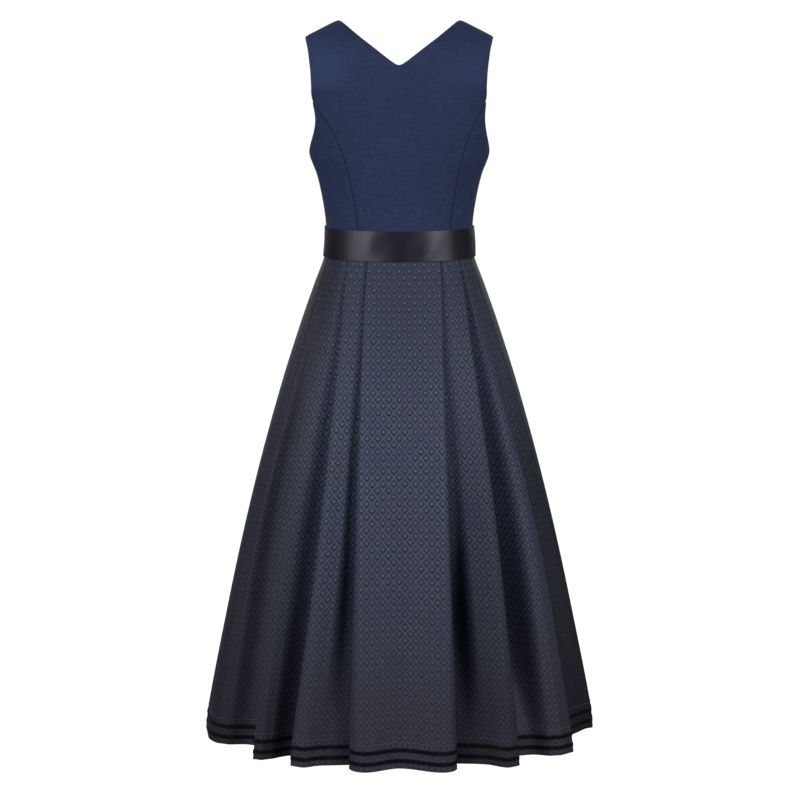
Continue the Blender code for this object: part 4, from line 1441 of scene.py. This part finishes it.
class DIRNDL_OT_materials(Operator):
    """Makes the shared node groups and the materials of cloths, ribbons, buttons and threads"""

    bl_idname = "dirndl.materials"
    bl_label = "Materials"

    def execute(self, context):
        for build in (build_weave_group, build_lattice_group, build_uneven_group, build_stitch_group):
            build()
        colours = context.scene.dirndl_colours
        for make in (bodice_cloth, skirt_jacquard):
            make(colours, context.scene.dirndl_sizes)
        for make in (velvet, satin, polished_horn):
            make(colours)
        for name in ("navy_thread", "hem_thread", "black_thread"):
            sewing_thread(name, getattr(colours, name))
        return {"FINISHED"}


class DIRNDL_OT_bodice(Operator):
    """Makes the seven bodice panels"""

    bl_idname = "dirndl.bodice"
    bl_label = "Bodice"

    def execute(self, context):
        add_panel("bodice_back", back_panel(), 1, ("first", "last"))
        for side, letter in ((1, "l"), (-1, "r")):
            add_panel(f"bodice_side_back_{letter}", side_panel(1, side), 1, ("first", "last"))
            add_panel(f"bodice_side_front_{letter}", side_panel(-1, side), -1, ("first", "last"))
            add_panel(f"bodice_front_{letter}", front_panel(side), -1, ("last",))
        return {"FINISHED"}


class DIRNDL_OT_buttons(Operator):
    """Makes the row of buttons, the threads that hold them and their buttonholes"""

    bl_idname = "dirndl.buttons"
    bl_label = "Buttons"

    def execute(self, context):
        flat = flat_button()
        crosses = []
        slits = []
        for number in range(BUTTONS):
            lie = button_frame(number)
            mesh = flat.data.copy()
            mesh.transform(lie)
            wear(new_piece(f"horn_button_{number + 1}", mesh), "button", f"button_{number + 1}")
            crosses += button_crosses(lie)
            slits.append(buttonhole_line(number))
        bpy.data.objects.remove(flat)
        for name, lines, sewn in (
            ("button_threads", crosses, BUTTON_SEWING),
            ("buttonhole_stitches", slits, BUTTONHOLE_SEWING),
        ):
            add_stitches(name, lines, sewn.length, sewn.thickness, "navy_thread", "bodice_cloth", sewn.gap)
        return {"FINISHED"}


class DIRNDL_OT_skirt(Operator):
    """Makes the pleated skirt's two halves with their hem stitches"""

    bl_idname = "dirndl.skirt"
    bl_label = "Skirt"

    def execute(self, context):
        sizes = context.scene.dirndl_sizes
        stitch = (sizes.hem_stitch, sizes.hem_thread_width, "hem_thread", "skirt_jacquard")
        for name, half in SKIRT_HALVES.items():
            piece, rows = add_skirt_half(name)
            standing = SKIRT_WALL / 2 + sizes.hem_thread_width * HEM_THREAD_OUT
            line = moved_out(skirt_rows(name, [HEM_STITCHES])[0], standing, half.facing)
            stitches = add_stitches(f"hem_stitches_{name}", [line[0]], *stitch)
            float(arc_lengths(rows).max())
            float(arc_lengths(rows.transpose(1, 0, 2)).max())
            float(grid_area(rows))
        return {"FINISHED"}


class DIRNDL_OT_velvet(Operator):
    """Makes the two velvet ribbons round the hem and the stitches along their edges"""

    bl_idname = "dirndl.velvet"
    bl_label = "Velvet ribbons"

    def execute(self, context):
        sizes = context.scene.dirndl_sizes
        stitch = (sizes.ribbon_stitch, sizes.thread_width, "black_thread", "velvet_ribbon")
        for name, half in SKIRT_HALVES.items():
            lines = []
            for ribbon in RIBBON_STARTS:
                sewn = moved_out(add_velvet(name, ribbon), VELVET_WALL / 2, half.facing)
                for edge, inner in ((0, 1), (-1, -2)):
                    lines.append(mix(sewn[edge], sewn[inner], RIBBON_SEAM_IN))
            add_stitches(f"velvet_stitches_{name}", lines, *stitch)
        return {"FINISHED"}


class DIRNDL_OT_belt(Operator):
    """Makes the satin ribbon round the waist"""

    bl_idname = "dirndl.belt"
    bl_label = "Belt"

    def execute(self, context):
        rows = belt_rows()
        piece = cloth_sheet("belt", rows, ribbon_chart(rows), RIBBON_WALL, "black_satin")
        cut = (float(arc_lengths(rows).max()), BELT_TOP - BELT_BOTTOM)
        return {"FINISHED"}


def add_floor():
    shape = bmesh.new()
    bmesh.ops.create_circle(shape, cap_ends=True, segments=FLOOR_SIDES, radius=FLOOR_RADIUS)
    bmesh.ops.translate(shape, verts=shape.verts, vec=(0.0, 0.0, FLOOR_HEIGHT))
    floor = shape_piece("floor", shape)
    look = Look("pale_floor", {"Roughness": 1.0, "Specular IOR Level": 0.0, "Base Color": FLOOR_GREY})
    look.give({"Emission Color": WHITE, "Emission Strength": look.seen()})
    floor.data.materials.append(bpy.data.materials["pale_floor"])


def add_light(box):
    turn = math.radians(box.azimuth)
    place = Vector((box.distance * math.sin(turn), box.distance * math.cos(turn), box.height))
    data = bpy.data.lights.new(box.name, "AREA")
    data.shape = "RECTANGLE"
    data.size = box.width
    data.size_y = box.tall
    data.spread = math.radians(box.spread)
    data.energy = box.power
    light = new_piece(box.name, data)
    light.location = place
    light.rotation_euler = (Vector((0.0, 0.0, box.aim)) - place).to_track_quat("-Z", "Y").to_euler()


def add_room(scene):
    """Even light from all round, white where the camera itself looks."""
    world = bpy.data.worlds.new("studio")
    world.use_nodes = True
    bench = Bench(world.node_tree)
    strength = bench.scaled(bench.seen(), 1.0 - ROOM_LIGHT, ROOM_LIGHT)
    bench.fill(bench.tree.nodes["Background"].inputs, {"Color": WHITE, "Strength": strength})
    scene.world = world
    scene.view_settings.view_transform = "Standard"


def add_camera(scene):
    data = bpy.data.cameras.new("camera")
    data.lens = CAMERA_LENS
    data.sensor_width = SENSOR
    camera = new_piece("camera", data)
    camera.location = CAMERA_PLACE
    camera.rotation_euler = (math.radians(90 + CAMERA_PITCH), 0.0, math.pi)
    scene.camera = camera


class DIRNDL_OT_stage(Operator):
    """Makes the pale floor, the soft light and the camera"""

    bl_idname = "dirndl.stage"
    bl_label = "Stage"

    def execute(self, context):
        add_floor()
        for box in SOFT_BOXES:
            add_light(box)
        add_room(context.scene)
        add_camera(context.scene)
        return {"FINISHED"}


class DIRNDL_PT_pieces(Panel):
    """The garment's settings and pieces"""

    bl_idname = "DIRNDL_PT_pieces"
    bl_label = "Dirndl"
    bl_space_type = "VIEW_3D"
    bl_region_type = "UI"
    bl_category = "Dirndl"

    def draw(self, context):
        for settings in (context.scene.dirndl_sizes, context.scene.dirndl_colours):
            box = self.layout.box()
            for name in settings.__annotations__:
                box.prop(settings, name)
        for step in STEPS:
            self.layout.operator(step.bl_idname)


STEPS = (
    DIRNDL_OT_materials,
    DIRNDL_OT_bodice,
    DIRNDL_OT_buttons,
    DIRNDL_OT_skirt,
    DIRNDL_OT_velvet,
    DIRNDL_OT_belt,
    DIRNDL_OT_stage,
)
CLASSES = (DirndlColours, DirndlSizes, *STEPS, DIRNDL_PT_pieces)


def register():
    for item in CLASSES:
        bpy.utils.register_class(item)
    bpy.types.Scene.dirndl_colours = PointerProperty(type=DirndlColours)
    bpy.types.Scene.dirndl_sizes = PointerProperty(type=DirndlSizes)


def unregister():
    del bpy.types.Scene.dirndl_sizes
    del bpy.types.Scene.dirndl_colours
    for item in reversed(CLASSES):
        bpy.utils.unregister_class(item)


def main():
    register()
    for step in STEPS:
        group, name = step.bl_idname.split(".")
        getattr(getattr(bpy.ops, group), name)()


if __name__ == "__main__":
    main()
